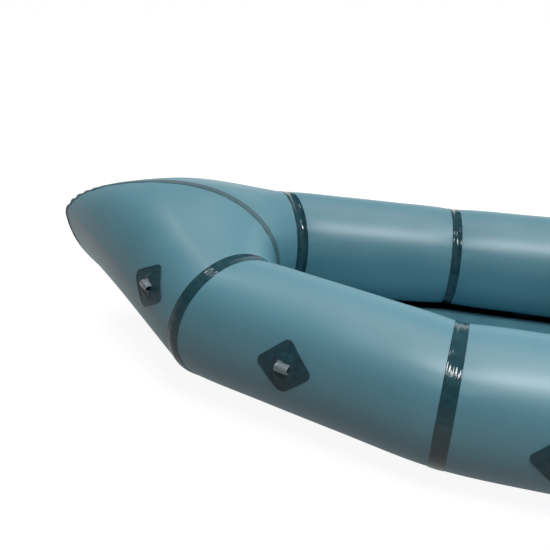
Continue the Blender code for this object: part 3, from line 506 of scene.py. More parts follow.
def fine_stations(first, last):
    """Stations between two seams, about one row pitch apart."""
    lengths = np.linalg.norm(np.diff(NET, axis=0), axis=2).mean(axis=1)
    stations = [float(first)]
    for k in range(first, last):
        count = max(3, round(lengths[k] / ROW_PITCH))
        stations += [k + i / count for i in range(1, count + 1)]
    return np.array(stations)


def puckers(turns, distance):
    """Height of the gathers beside a seam."""
    angle = 2 * math.pi * turns / AROUND
    wave = (np.sin(PUCKERS_AROUND * angle + 1.3 * np.sin(5 * angle))
            + 0.6 * np.sin(1.7 * PUCKERS_AROUND * angle + 2.1 * np.sin(3 * angle + 1)))
    return PUCKER * wave[None, :] * np.exp(-distance / PUCKER_FADE)


def scallops(turns, distance):
    """Height of the scallops that the bow seam makes where it turns round the tip."""
    fine = np.linspace(-4, 8, 600)
    run = run_along(tube_points(np.full(len(fine), BOW_END), fine))
    centred = (turns + AROUND / 2) % AROUND - AROUND / 2
    here = np.interp(centred, fine, run)
    window = np.exp(-((centred - SCALLOP_MIDDLE) / SCALLOP_SPREAD) ** 2)
    lobes = np.abs(np.sin(math.pi * here / SCALLOP_PITCH)) ** 0.7 - 0.75
    return SCALLOP * (window * lobes)[None, :] * np.exp(-(distance / SCALLOP_FADE) ** 2)


def skin(name, first, last):
    """One port panel as a smooth sheet with its puckers."""
    columns = BOW_COLUMNS if last == BOW_END else COLUMNS
    turns = np.arange(columns) * AROUND / columns
    points, normals = tube(fine_stations(first, last), turns)
    run = run_along(points)
    height = puckers(turns, np.minimum(run, run[-1] - run))
    if last == BOW_END:
        height += scallops(turns, np.linalg.norm(points - points[-1:], axis=2))
    return grid_mesh(name, points + height[:, :, None] * normals)


for place, (first, last) in PANELS.items():
    both_sides(skin(place + "_skin_port", first, last), hull_fabric, place, FABRIC)

# %% [markdown]
# ### Seam tapes
#
# The tape over a ring seam is 30 mm wide. It bridges the seam with a low peak along its middle,
# and the grooved roller that pressed it down left rounded ridges along it, 6 mm apart. They waver
# a little on their way round, so the lamps show in them as rows of short bright bars. Low on its
# outer side the tape's end laps over its start.

# %% Ring tapes
RING_TAPE_HALF = 0.015
RING_TAPE_SHEET = 0.0007
TAPE_GAP = 0.0003
TAPE_ROWS = 61
TAPE_COLUMNS = 360
RIDGE = 0.00028
RIDGE_PITCH = 0.006
WAVER = 0.00003
PEAK_HEIGHT = 0.0003
LAP_START = 0.5
LAP_END = 1.3
LAP_EDGE = 0.03
EDGE_SHARE = 0.95
TAPE_TURNS = np.arange(TAPE_COLUMNS) * AROUND / TAPE_COLUMNS


def soft_step(value):
    return 0.5 + 0.5 * np.tanh(value)


def tape_height(share):
    """Height over the fabric at a share across the tape, from -1 to 1, all the way round."""
    angle = 2 * math.pi * TAPE_TURNS / AROUND
    across = share * RING_TAPE_HALF / RIDGE_PITCH
    drift = 0.12 * np.sin(3 * angle + 0.5) + 0.08 * np.sin(7 * angle)
    ridges = RIDGE * (0.8 + 0.2 * np.sin(9 * across)) * np.abs(np.sin(math.pi * (across + drift)))
    waver = WAVER * np.sin(31 * angle + 4.1 * across + 2 * np.sin(11 * angle))
    peak = PEAK_HEIGHT * (1 - abs(share))
    lap = RING_TAPE_SHEET * (soft_step((TAPE_TURNS - LAP_START) / LAP_EDGE)
                             - soft_step((TAPE_TURNS - LAP_END) / LAP_EDGE))
    edge = np.clip((1 - abs(share)) / (1 - EDGE_SHARE), 0, 1) ** 0.5
    return (RING_TAPE_SHEET + ridges + waver + peak + lap) * edge


def ring_tape(name, seam):
    """A closed band over a ring seam: its ridged face above and a plain one against the fabric."""
    shares = np.linspace(-1, 1, TAPE_ROWS)
    points, normals = tube(seam + shares, TAPE_TURNS)
    heights = np.array([tape_height(s) for s in shares]) + TAPE_GAP
    top = points + heights[:, :, None] * normals
    under = (points + TAPE_GAP / 2 * normals)[::-1][::TAPE_ROWS - 1]
    return grid_mesh(name, np.concatenate([top, under]), close_along=True)


for place, seam in (("stern", STERN_SEAM), ("mid", MID_SEAM), ("bow", BOW_SEAM)):
    both_sides(ring_tape(place + "_ring_tape_port", seam), seam_tape,
               place + "_seam_tape")

# %% [markdown]
# The two halves of the bow meet on the centre line under a narrower tape with a satin face. It
# follows the scallops at the tip.

# %% Centre tapes
CENTRE_TAPE_ROWS = 7


def end_tape(name, end, edge):
    """A closed band across the centre line, from its port edge to its starboard edge."""
    points, normals = tube(np.linspace(edge, end, CENTRE_TAPE_ROWS), TAPE_TURNS)
    normals[-1] = unit(normals[-1] * [1, 0, 1])
    points[-1, :, 1] = 0
    if end == BOW_END:
        distance = np.linalg.norm(points - points[-1:], axis=2)
        points = points + scallops(TAPE_TURNS, distance)[:, :, None] * normals
    bands = []
    for height in (TAPE_GAP + RING_TAPE_SHEET, TAPE_GAP / 2):
        port = points + height * normals
        bands.append(np.concatenate([port, port[-2::-1] * [1, -1, 1]]))
    band = np.concatenate([bands[0], bands[1][::-1][::len(bands[1]) - 1]])
    return grid_mesh(name, band, close_along=True)


for place, end, edge in (("bow", BOW_END, BOW_END - 1), ("stern", 0, 1)):
    obj = end_tape(place + "_centre_tape_band", end, edge)
    finished(obj, centre_tape, [place + "_centre_tape"])

# %% [markdown]
# ### Floor sheet
#
# The floor is one sheet drawn between the two tubes and welded to them. Its edge is read from
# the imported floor. The sheet is taut across, with slow shallow waves where the weld draws it.

# %% Floor sheet
FLOOR_SHEET = 0.0012
FLOOR_ROWS = 220
FLOOR_COLUMNS = 61
FLOOR_WAVE = 0.0022


def places_of(obj):
    """The places of a mesh's points, as rows."""
    return np.array([v.co[:] for v in obj.data.vertices])


def floor_edge():
    """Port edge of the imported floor's upper face, from the stern to the bow."""
    corners = places_of(frame["nodes"]["floor_sheet"])
    places = {}
    for x, y, z in corners[corners[:, 1] > 0]:
        key = round(float(x), 4), round(float(y), 4)
        places[key] = max(places.get(key, -1), float(z))
    line = sorted((-math.atan2(y, x), x, y, z) for (x, y), z in places.items())
    return np.array([point[1:] for point in line])


def smooth_line(points, count):
    """Evenly numbered points on a smooth line through the given ones."""
    gaps = run_along(points)
    middle = np.linspace(0, gaps[-1], count)
    rough = np.stack([np.interp(middle, gaps, points[:, i]) for i in range(3)], axis=1)
    padded = np.concatenate([rough[:1]] * 3 + [rough] + [rough[-1:]] * 3)
    return sum(padded[i:i + count] for i in range(7)) / 7


edge = smooth_line(floor_edge(), FLOOR_ROWS)
edge[:, 2] = np.maximum(edge[:, 2], FLOOR_SHEET)
across = np.sin(np.linspace(math.pi / 2, -math.pi / 2, FLOOR_COLUMNS))
ones = np.ones(FLOOR_COLUMNS)
sheet = edge[:, None] * np.stack([ones, across, ones], axis=1)
x, y = sheet[:, :, 0], sheet[:, :, 1]
swing = (0.5 + 0.28 * np.sin(19 * x + 6 * y + 1.1) + 0.22 * np.sin(31 * x - 9 * y)
         + 0.15 * np.sin(11 * x + 24 * y))
sheet[:, :, 2] += FLOOR_WAVE * swing * np.clip(1 - across ** 4, 0, 1)
floor = grid_mesh("floor_cloth", sheet[:, ::-1], close_across=False)
thicken(floor, FLOOR_SHEET)
finished(floor, floor_fabric_painted_light, ["floor_sheet"])

# %% [markdown]
# ### Floor tapes
#
# A tape lies in the corner where the floor meets each tube: its foot is on the floor, it bends
# through the corner, and its head is welded up the tube's side. Its near-black colour is painted
# shade: the dark of that corner, laid on the tape.

# %% Floor tapes
STRIP_ROWS = 260
STRIP_FIRST = 1.3
STRIP_FOOT = 0.037
STRIP_CORNER = 0.036
STRIP_BEND = 0.046
STRIP_HEAD = 0.066
STRIP_SHEET = 0.0006
STRIP_LIFT = 0.0009
STRIP_HUMP = 0.0013
TUBE_RADIUS = 0.14


def bent(start, corner, end, count):
    """Rows on a curve that leaves start toward a corner and comes from it to the end."""
    return [(1 - t) ** 2 * start + 2 * t * (1 - t) * corner + t ** 2 * end
            for t in np.linspace(0, 1, count)]


def under_tube(stations, offset, lift):
    """Points low on the tube's inner side, at a distance in from its keel."""
    turn = KEEL_TURN - math.asin(offset / TUBE_RADIUS) * AROUND / (2 * math.pi)
    turns = np.full(len(stations), turn)
    return tube_points(stations, turns) + lift[:, None] * outward(stations, turns)


def on_floor(points, lift):
    """The same places on the floor's upper face, a little above it."""
    order = np.argsort(edge[:, 0])
    level = np.interp(points[:, 0], edge[order, 0], edge[order, 2]) + lift
    return np.stack([points[:, 0], points[:, 1], level], axis=1)


def corner_strip(name):
    stations = np.linspace(STRIP_FIRST, BOW_END - STRIP_FIRST, STRIP_ROWS)
    nearest = np.abs(stations[:, None] - [STERN_SEAM, MID_SEAM, BOW_SEAM]).min(axis=1)
    lift = STRIP_LIFT + STRIP_HUMP * np.clip(2 - nearest, 0, 1)
    corner, bend, middle, head = [
        under_tube(stations, offset, lift)
        for offset in (STRIP_CORNER, STRIP_BEND, (STRIP_BEND + STRIP_HEAD) / 2, STRIP_HEAD)]
    along = np.gradient(corner, axis=0)
    side = unit(np.stack([along[:, 1], -along[:, 0], 0 * along[:, 0]], axis=1))
    foot = on_floor(corner + STRIP_FOOT * side, FLOOR_WAVE)
    near = on_floor(corner + STRIP_FOOT / 4 * side, STRIP_LIFT + FLOOR_WAVE / 3)
    rows = [foot + (near - foot) * k / 4 for k in range(4)]
    rows += bent(near, on_floor(corner, STRIP_LIFT), bend, 8) + [middle, head]
    return grid_mesh(name, np.stack(rows, axis=1), close_across=False)


# The near-black tape of this strip is painted shade of the corner.
both_sides(corner_strip("floor_strip_port"), floor_tape, "floor_tape", STRIP_SHEET)

# %% [markdown]
# ### Tie-down patches
#
# A patch is a rounded square of cloth stood on its corner, welded flat to the tube. The ends of
# the webbing are sandwiched under it and show through as a raised many-sided shape. To wrap the
# patch on the tube without stretching it, each of its points is found by its distances along and
# round.

# %% A chart of the tube about a spot
TIE_DOWNS = ("bow", "front", "rear", "stern")
CHART_STEPS = 5
NUDGE = 0.01


def spot_of(node, place):
    """The port spot of a packed patch, with its axes along the tube, down its side and outward."""
    patch = places_of(frame["nodes"][node])
    middle = (patch.min(axis=0) + patch.max(axis=0)) / 2 * [1, np.sign(patch[0, 1]), 1]
    first, last = PANELS[place]
    stations, turns = np.linspace(first, last, 240), np.linspace(0, AROUND, 240)
    grid = tube(stations, turns)[0]
    i, j = np.unravel_index(np.linalg.norm(grid - middle, axis=2).argmin(), grid.shape[:2])
    station, turn = stations[i:i + 1], turns[j:j + 1]
    normal = outward(station, turn)[0]
    along = unit(tube_points(station + 2 * NUDGE, turn)
                 - tube_points(station - 2 * NUDGE, turn))[0]
    along = along * np.sign(along[0])
    return {"station": station[0], "turn": turn[0], "origin": grid[i, j], "along": along,
            "normal": normal, "down": np.cross(normal, along)}


def chart(spot, a, b):
    """Points and normals of the tube at distances a along and b down from a spot."""
    a, b = np.ravel(a), np.ravel(b)
    bow = TUBE_RADIUS * np.sin(b / TUBE_RADIUS)
    s, t = np.full(len(a), spot["station"]), np.full(len(a), spot["turn"])
    sides = np.stack([spot["along"], spot["down"]], axis=1)
    for _ in range(CHART_STEPS):
        here = tube_points(s, t)
        slopes = np.stack([(tube_points(s + NUDGE, t) - here) / NUDGE @ sides,
                           (tube_points(s, t + NUDGE) - here) / NUDGE @ sides], axis=2)
        miss = np.stack([a, bow], axis=1) - (here - spot["origin"]) @ sides
        step = np.linalg.solve(slopes, miss[:, :, None])[:, :, 0]
        s, t = s + step[:, 0], t + step[:, 1]
    return tube_points(s, t), outward(s, t)


# %% Tie-down patches
PATCH_HALF = 0.043
PATCH_CORNER = 0.013
PATCH_SHEET = 0.0011
PATCH_LIFT = 0.0012
PATCH_CELLS = 44
RELIEF = 0.0018
RELIEF_ALONG = 0.018
RELIEF_DOWN = 0.027
RELIEF_CUT = 0.036
RELIEF_EDGE = 0.0011
RIM_BEAD = 0.0009
RUMPLE = 0.00025
RIM_FADE = 0.002


def rounded_square(cells):
    """A grid over a square whose corners are drawn in to an arc, as flat x and y."""
    even = np.linspace(-1, 1, cells + 1)
    line = np.sort(np.concatenate([even, [-0.985, 0.985, -0.965, 0.965]])) * PATCH_HALF
    x, y = np.meshgrid(line, line, indexing="ij")
    flat = PATCH_HALF - PATCH_CORNER
    dx, dy = np.maximum(np.abs(x) - flat, 0), np.maximum(np.abs(y) - flat, 0)
    reach = np.maximum(np.hypot(dx, dy), 1e-9)
    shrink = np.where((dx > 0) & (dy > 0), np.maximum(dx, dy) / reach, 1.0)
    x = np.sign(x) * (np.minimum(np.abs(x), flat) + dx * shrink)
    y = np.sign(y) * (np.minimum(np.abs(y), flat) + dy * shrink)
    return x, y


def facing(obj, direction):
    """Turn a sheet's faces so that they look the given way on average."""
    total = sum((face.normal * face.area for face in obj.data.polygons), Vector())
    if total.dot(Vector(direction)) < 0:
        obj.data.flip_normals()


def patch_sheet(name, spot):
    x, y = rounded_square(PATCH_CELLS)
    a, b = (x + y) / math.sqrt(2), (x - y) / math.sqrt(2)
    inside = np.minimum(np.minimum(RELIEF_ALONG - np.abs(a), RELIEF_DOWN - np.abs(b)),
                        (RELIEF_CUT - np.abs(a) - np.abs(b)) / math.sqrt(2))
    rumple = RUMPLE * np.sin(310 * b + 2 * np.sin(120 * a))
    height = PATCH_LIFT + (RELIEF + rumple) * soft_step(inside / RELIEF_EDGE)
    rim = PATCH_HALF - np.maximum(np.abs(x), np.abs(y))
    height += RIM_BEAD * np.exp(-(rim / RIM_FADE) ** 2)
    points, normals = chart(spot, a, b)
    points += height.ravel()[:, None] * normals
    obj = grid_mesh(name, points.reshape(*x.shape, 3), close_across=False)
    facing(obj, spot["normal"])
    return obj


spots = {place: spot_of(place + "_patch_port", place + "_panel") for place in TIE_DOWNS}
for place, spot in spots.items():
    both_sides(patch_sheet(place + "_tie_patch_port", spot), patch_cloth,
               place + "_patch", PATCH_SHEET)

# %% [markdown]
# ### Webbing loops
#
# Each loop is one strap bent into an arch: it comes out from under the patch, rises, turns over at
# two soft shoulders and goes back in. A section with rounded edges is swept along that path.

# %% Webbing loops
LOOP_LENGTH = 0.028
LOOP_LEG = 0.0085
LOOP_TOP = 0.0125
LOOP_SHOULDER = 0.0074
LOOP_FLARE = 0.0024
LOOP_FOOT = 0.0022
WEBBING_SHEET = 0.0016


def arc(centre, radius, start, end, count):
    """Points on an arc, angles in quarter turns."""
    turns = np.linspace(start, end, count) * math.pi / 2
    return np.stack([centre[0] + radius * np.cos(turns), centre[1] + radius * np.sin(turns)], 1)


def loop_path():
    """Middle line of the bent strap, from foot to foot, as (down, out) from the patch's face."""
    top, leg = LOOP_TOP - WEBBING_SHEET / 2, LOOP_LEG - WEBBING_SHEET / 2
    foot = arc((leg + LOOP_FLARE, LOOP_FLARE - WEBBING_SHEET / 2), LOOP_FLARE, 3, 2, 9)
    end = [[foot[0, 0] + LOOP_FOOT, foot[0, 1] - 0.0006]]
    shoulder = arc((leg - LOOP_SHOULDER, top - LOOP_SHOULDER), LOOP_SHOULDER, 0, 1, 13)
    half = np.concatenate([end, foot, shoulder])
    crown = np.linspace(half[-1], half[-1] * [-1, 1], 5)[1:-1]
    return np.concatenate([half, crown, half[::-1] * [-1, 1]])


def strap_section(count=5):
    """Half width and half thickness round a strap with rounded edges."""
    half, round_edge = LOOP_LENGTH / 2, WEBBING_SHEET / 2
    right = arc((half - round_edge, 0), round_edge, -1, 1, count)
    return np.concatenate([right, -right]) * [1, 0.98]


def closed_up(obj):
    """Fill the open ends of a mesh and turn its faces outward."""
    shape = bmesh.new()
    shape.from_mesh(obj.data)
    bmesh.ops.holes_fill(shape, edges=[e for e in shape.edges if e.is_boundary], sides=0)
    bmesh.ops.recalc_face_normals(shape, faces=shape.faces)
    shape.to_mesh(obj.data)
    shape.free()
    return obj


def webbing_loop(name, spot):
    """A strap swept along its path, with a UV map in metres across and along it."""
    path, section = loop_path(), strap_section()
    slope = unit(np.gradient(path, axis=0))
    out = np.stack([slope[:, 1], -slope[:, 0]], axis=1)
    w, t = section.T[:, :, None]
    lines = path[:, None] + t * out[:, None]
    foot = spot["origin"] + (PATCH_LIFT + RELIEF) * spot["normal"]
    obj = closed_up(grid_mesh(name, foot + w * spot["along"] + lines[..., :1] * spot["down"]
                              + lines[..., 1:] * spot["normal"]))
    strap, runs = obj.data.uv_layers.new(name="strap"), run_along(path)
    for corner in obj.data.loops:
        row, column = divmod(corner.vertex_index, len(section))
        strap.data[corner.index].uv = section[column, 0], runs[row]
    obj.data.shade_smooth()
    return obj


for place, spot in spots.items():
    both_sides(webbing_loop(place + "_strap_loop_port", spot), webbing,
               place + "_loop")

# %% [markdown]
# ## Seat
#
# The seat and its backrest are inflated cushions. Each is two sheets of coated cloth welded
# together round the rim, with two more lines of welds that make three channels when air goes in.
# Air does the shaping here too: a cloth simulation blows up a slack cushion, so the gathers along
# the welds come by themselves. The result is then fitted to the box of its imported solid.

# %% Cushion cloth
THREAD_PITCH = 0.9 * MILLIMETRE
CLOUD_SIZE = 40 * MILLIMETRE

cushion_cloth, shader = new_material("coated cushion cloth", "2b3438", 0.55)
spot = add_node(cushion_cloth, "TexCoord", out="UV")
weld = add_node(cushion_cloth, "Attribute", {"attribute_name": "weld"}, out="Fac")
clouds = add_node(cushion_cloth, "TexNoise", None,
                  {"Vector": spot, "Scale": 1 / CLOUD_SIZE, "Detail": 3})
worn = add_node(cushion_cloth, "Math", {"operation": "SUBTRACT", "use_clamp": True},
                {0: clouds, 1: weld})
threads = [add_node(cushion_cloth, "TexWave", {"bands_direction": axis},
                    {"Vector": spot, "Scale": 2 * math.pi / (THREAD_PITCH * WAVE_TURN),
                     "Distortion": 0.3}, out="Fac") for axis in "XY"]
cross = add_node(cushion_cloth, "Math", {"operation": "MAXIMUM"},
                 {0: threads[0], 1: threads[1]})
dress(cushion_cloth, shader, ("20282b", "323c41"), (0.56, 0.36), 0.08, worn, weld, cross,
      span=(0.1, 0.7))

# %% [markdown]
# The slack cushion is two grids that share their rim. Its own axes are x along, y across and z
# up. The points on the weld lines are pinned, and the rest is free to swell.

# %% A slack cushion
CUSHION_CELLS = (56, 60)
CHANNELS = 3
RIM_BAND = 0.007
SLACK = 0.55
CLOTH_FRAMES = 20
AIR_PRESSURE = 4.0
CLOTH_GROWTH = -0.03
CLOTH_STIFFNESS = 1.5


def pillow(s, c, length, width, thickness):
    """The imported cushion's own face at shares s along and c across: x, y and height."""
    tuck = 1 - 0.07 * (s * c) ** 4
    rim = np.sqrt(np.maximum((1 - s ** 6) * (1 - c ** 8), 0))
    ridge = np.abs(np.sin(math.pi / 2 * CHANNELS * (c + 1))) ** 0.6
    return length / 2 * s * tuck, width / 2 * c * tuck, thickness / 2 * rim * (0.5 + 0.5 * ridge)


def slack_cushion(name, length, width, thickness):
    """A closed mesh of two sheets, the numbers of its points and its weld lines."""
    rows, columns = CUSHION_CELLS
    s, c = np.meshgrid(np.linspace(-1, 1, rows + 1), np.linspace(-1, 1, columns + 1),
                       indexing="ij")
    x, y, height = pillow(s, c, length, width, thickness)
    upper = np.arange(s.size).reshape(s.shape)
    inner = np.zeros(s.shape, bool)
    inner[1:-1, 1:-1] = True
    lower = upper.copy()
    lower[inner] = s.size + np.arange(inner.sum())
    points = np.concatenate([np.stack([x, y, height], axis=2).reshape(-1, 3),
                             np.stack([x, y, -height], axis=2)[inner]])
    quads = [np.stack([g[:-1, :-1], g[1:, :-1], g[1:, 1:], g[:-1, 1:]], axis=2).reshape(-1, 4)
             for g in (upper, lower)]
    mesh = bpy.data.meshes.new(name)
    mesh.from_pydata(points.tolist(), [], np.concatenate([quads[0], quads[1][:, ::-1]]).tolist())
    mesh.shade_smooth()
    return new_object(name, mesh), upper, lower


def swell(obj, pinned):
    """Blow up a slack cushion, its pinned points held."""
    group = obj.vertex_groups.new(name="weld lines")
    group.add([int(k) for k in pinned], 1.0, "REPLACE")
    cloth = obj.modifiers.new("air", "CLOTH")
    cloth.settings.vertex_group_mass = group.name
    cloth.settings.use_pressure = True
    cloth.settings.uniform_pressure_force = AIR_PRESSURE
    cloth.settings.shrink_min = CLOTH_GROWTH
    cloth.settings.bending_stiffness = CLOTH_STIFFNESS
    cloth.settings.effector_weights.gravity = 0
    cloth.point_cache.frame_end = CLOTH_FRAMES
    for step in range(1, CLOTH_FRAMES + 1):
        bpy.context.scene.frame_set(step)
    apply_modifiers(obj)
    bpy.context.scene.frame_set(1)
    obj.vertex_groups.clear()


# %% [markdown]
# After the air is in, the cushion is stretched a little to its solid's box. The seat's lower face
# is flattened where it lies on the floor. Round its valve the cloth is drawn to the flange. Last
# comes the welded rim, a flat band that stands out all round and is where the two sheets are
# joined.

# %% A finished cushion
VALVE_REACH = 0.012
VALVE_DRAW = 0.022
RIM_SHEET = 0.0016
VALVE_THICKNESS = 0.02
RUFFLES = ((0.0007, 0.019), (0.0005, 0.031))
BAND_SECTION = ((-0.3, 1), (0.2, 1), (0.6, 1), (1, 0.5), (1, -0.5), (0.6, -1), (0.2, -1),
                (-0.3, -1))


def fitted(points, size, rests):
    """Scale the swollen points to the solid's box, less the rim band."""
    room = np.array(size) - [2 * RIM_BAND, 2 * RIM_BAND, 0]
    low, high = points.min(axis=0), points.max(axis=0)
    points = (points - (low + high) / 2) * room / (high - low)
    if rests:
        points[:, 2] = np.where(points[:, 2] < 0, np.maximum(points[:, 2] * 1.3, -size[2] / 2),
                                points[:, 2])
    return points


def drawn_to_valve(points, spot, normal):
    """Move the upper face to a valve's flange: flat under it and smooth round it."""
    along = (points - spot) @ normal
    flat = points - spot - along[:, None] * normal
    reach = np.linalg.norm(flat, axis=1)
    near = (np.abs(along) < VALVE_THICKNESS) & (points[:, 2] > 0)
    share = np.exp(-(np.maximum(reach - VALVE_REACH, 0) / VALVE_DRAW) ** 2) * near
    return points - (share * along)[:, None] * normal


def rim_band(name, line):
    """The flat welded band round a closed line of rim points."""
    ahead = np.roll(line, -1, axis=0) - np.roll(line, 1, axis=0)
    out = unit(np.stack([ahead[:, 1], -ahead[:, 0], 0 * ahead[:, 0]], axis=1))
    if ((line + out) ** 2).sum() < (line ** 2).sum():
        out = -out
    run = np.cumsum(np.linalg.norm(ahead, axis=1) / 2)
    ruffle = sum(height * np.sin(run * 2 * math.pi / pitch) for height, pitch in RUFFLES)
    rows = []
    for share, side in BAND_SECTION:
        row = line + share * RIM_BAND * out
        row[:, 2] += side * RIM_SHEET / 2 + max(share, 0) * ruffle
        rows.append(row)
    return closed_up(grid_mesh(name, np.array(rows), close_along=True))


def cloth_map(obj, weld_share):
    """A UV map in metres, and the share of weld at each point."""
    points, uv = places_of(obj), obj.data.uv_layers.new(name="cloth")
    for corner in obj.data.loops:
        uv.data[corner.index].uv = points[corner.vertex_index, :2]
    mark = obj.data.attributes.new("weld", "FLOAT", "POINT")
    mark.data.foreach_set("value", weld_share.astype(np.float32))


def join(whole, part):
    """Make a piece part of another."""
    bpy.ops.object.select_all(action="DESELECT")
    part.select_set(True)
    whole.select_set(True)
    bpy.context.view_layer.objects.active = whole
    bpy.ops.object.join()
    whole.select_set(False)


def air_cushion(name, size, placing, valve, rests):
    """One inflated cushion with its rim, in place; returns it and its rim's edge."""
    slack = (size[0] - 2 * RIM_BAND, size[1] - 2 * RIM_BAND, size[2] * SLACK)
    obj, upper, lower = slack_cushion(name, *slack)
    columns = [upper.shape[1] // CHANNELS * k for k in range(1, CHANNELS)]
    lines = np.concatenate([grid[:, columns].ravel() for grid in (upper, lower)])
    swell(obj, lines)
    back = placing.inverted()
    points = drawn_to_valve(fitted(places_of(obj), size, rests),
                            np.array(back @ Vector(valve["pos"])),
                            np.array(back.to_3x3() @ Vector(valve["axis"])))
    for vertex, point in zip(obj.data.vertices, points):
        vertex.co = point
    line = points[np.concatenate([upper[:-1, 0], upper[-1, :-1], upper[:0:-1, -1],
                                  upper[0, :0:-1]])]
    weld = np.zeros(len(points))
    weld[lines] = 1
    cloth_map(obj, weld)
    modified(obj, "SUBSURF", levels=1, render_levels=1)
    band = rim_band(name + "_rim", line)
    cloth_map(band, np.ones(len(band.data.vertices)))
    join(obj, band)
    obj.data.transform(placing)
    rim = line + RIM_BAND * unit(line * [1, 1, 0])
    return obj, np.array([(placing @ Vector(p))[:] for p in rim])


# %% Seat cushion and backrest
SEAT_SIZE = (0.300, 0.310, 0.060)
SEAT_PLACE = Matrix.Translation((-0.527, 0.0, 0.0315))
BACK_SIZE = (0.235, 0.300, 0.050)
BACK_PLACE = (Matrix.Translation((-0.7032, 0.0, 0.1814))
              @ Matrix(((0, 0, -1), (0, 1, 0), (1, 0, 0))).to_4x4())

axes = {joint["name"]: {"pos": joint.get("pos_m"), "axis": joint["axis"]}
        for joint in frame["joints"]}
seat, seat_rim = air_cushion("seat_cushion", SEAT_SIZE, SEAT_PLACE,
                             axes["seat_mouthpiece_turn"], rests=True)
finished(seat, cushion_cloth, ["seat_base"])
back, back_rim = air_cushion("backrest_cushion", BACK_SIZE, BACK_PLACE,
                             axes["back_mouthpiece_turn"], rests=False)
finished(back, cushion_cloth, ["seat_back"], body="backrest")

# %% [markdown]
# A strip of the same cloth is the hinge between the two. It is welded to the seat's rear rim,
# stands up to the hinge line, turns aft to the backrest's foot and ends inside its rim.

# %% Hinge strip
HINGE_HALF = 0.125
HINGE_SHEET = 0.0008
HINGE_BEND = 0.004
HINGE_COLUMNS = 51
HINGE_LAP = 0.005
HINGE_GAP = 0.0004


def rim_side(rim, axis, across):
    """Points of a rim's edge on its low side, at the given places across the boat."""
    side = rim[(rim[:, axis] < rim[:, axis].mean()) & (np.abs(rim[:, 1]) < HINGE_HALF + 0.02)]
    side = side[np.argsort(side[:, 1])]
    return np.stack([np.interp(across, side[:, 1], side[:, k]) for k in range(3)], axis=1)


across = np.linspace(-HINGE_HALF, HINGE_HALF, HINGE_COLUMNS)
pivot = np.array(axes["backrest_fold"]["pos"])
foot, head = rim_side(seat_rim, 0, across), rim_side(back_rim, 2, across)
corner = pivot * [1, 0, 1] - [HINGE_GAP, 0, 0] + across[:, None] * [0, 1, 0]
below, behind = corner - [0, 0, HINGE_BEND], corner - [HINGE_BEND, 0, 0]
rows = [foot * [1, 1, 0] + [0.003, 0, foot[0, 2]], foot]
rows += [foot + share * (below - foot) for share in (0.25, 0.5, 0.75)]
rows += bent(below, corner, behind, 7)
rows += [behind + share * (head - [0, 0, HINGE_GAP] - behind) for share in (0.33, 0.66, 1)]
rows.append(head + [0, 0, HINGE_LAP])
strip = grid_mesh("hinge_strip", np.array(rows), close_across=False)
facing(strip, (1, 0, 0))
thicken(strip, HINGE_SHEET)
cloth_map(strip, np.zeros(len(strip.data.vertices)))
strip.data.materials.append(cushion_cloth)
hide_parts("seat_hinge_leaf", "back_hinge_leaf")
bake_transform(strip)
print("hinge strip rows:", len(rows))

# %% [markdown]
# ## Valves
#
# All the valves are moulded in a tough black plastic. They are round parts, so each starts as a
# cylinder, and its ends are drawn out in edit mode: every step extrudes the end face, then scales
# and moves it to the next radius and height, as a turner would read them off a drawing.

# %% Moulded plastic and spring steel
valve_plastic = patterned("moulded black plastic", "17191b", 0.38, clouds=40,
                          tones=("141618", "1c1f21"), grain=0.8, rough=(0.32, 0.46), depth=0.03)
spring_steel = patterned("drawn spring steel", "b8bcc0", 0.3, clouds=0.4,
                         tones=("acb0b4", "c4c8cc"), grain=0.4, rough=(0.24, 0.38), Metallic=1.0)

# %% Helpers for turned parts


def edit(obj):
    """Open one piece for editing, with nothing selected on it."""
    bpy.ops.object.select_all(action="DESELECT")
    obj.select_set(True)
    bpy.context.view_layer.objects.active = obj
    bpy.ops.object.mode_set(mode="EDIT")
    bpy.ops.mesh.select_mode(type="FACE")
    bpy.ops.mesh.select_all(action="DESELECT")


def leave(obj):
    bpy.ops.object.mode_set(mode="OBJECT")
    obj.select_set(False)


def pick(obj, test):
    """Select the faces whose middle and normal pass a test."""
    bpy.ops.mesh.select_all(action="DESELECT")
    shape = bmesh.from_edit_mesh(obj.data)
    for face in shape.faces:
        if test(face.calc_center_median(), face.normal):
            face.select_set(True)
    bmesh.update_edit_mesh(obj.data)


def draw_out(obj, sign, profile):
    """Extrude the end face on one side through a profile of (radius, height)."""
    shape = bmesh.from_edit_mesh(obj.data)
    level = max(v.co.z * sign for v in shape.verts) * sign
    pick(obj, lambda middle, normal: normal.z * sign > 0.9 and abs(middle.z - level) < 1e-6)
    shape = bmesh.from_edit_mesh(obj.data)
    here = max(v.co.xy.length for v in shape.verts if v.select), level
    for radius, height in profile:
        bpy.ops.mesh.extrude_region_move(
            TRANSFORM_OT_translate={"value": (0, 0, height - here[1])})
        bpy.ops.transform.resize(value=(radius / here[0], radius / here[0], 1),
                                 center_override=(0, 0, height))
        here = radius, height


def turned_part(name, sides, radius, low, high, above=(), below=(), bore=False):
    """A cylinder with both ends drawn out; with bore, the two last faces open into each other."""
    bpy.ops.mesh.primitive_cylinder_add(vertices=sides, radius=radius, depth=high - low,
                                        location=(0, 0, (low + high) / 2))
    obj = bpy.context.object
    obj.name = obj.data.name = name
    bpy.ops.object.transform_apply()
    edit(obj)
    draw_out(obj, 1, above)
    if bore:
        bpy.ops.mesh.delete(type="FACE")
    draw_out(obj, -1, below)
    if bore:
        bpy.ops.mesh.delete(type="FACE")
        bpy.ops.mesh.select_all(action="SELECT")
        bpy.ops.mesh.remove_doubles(threshold=1e-6)
    bpy.ops.mesh.select_all(action="SELECT")
    bpy.ops.mesh.normals_make_consistent(inside=False)
    leave(obj)
    return obj


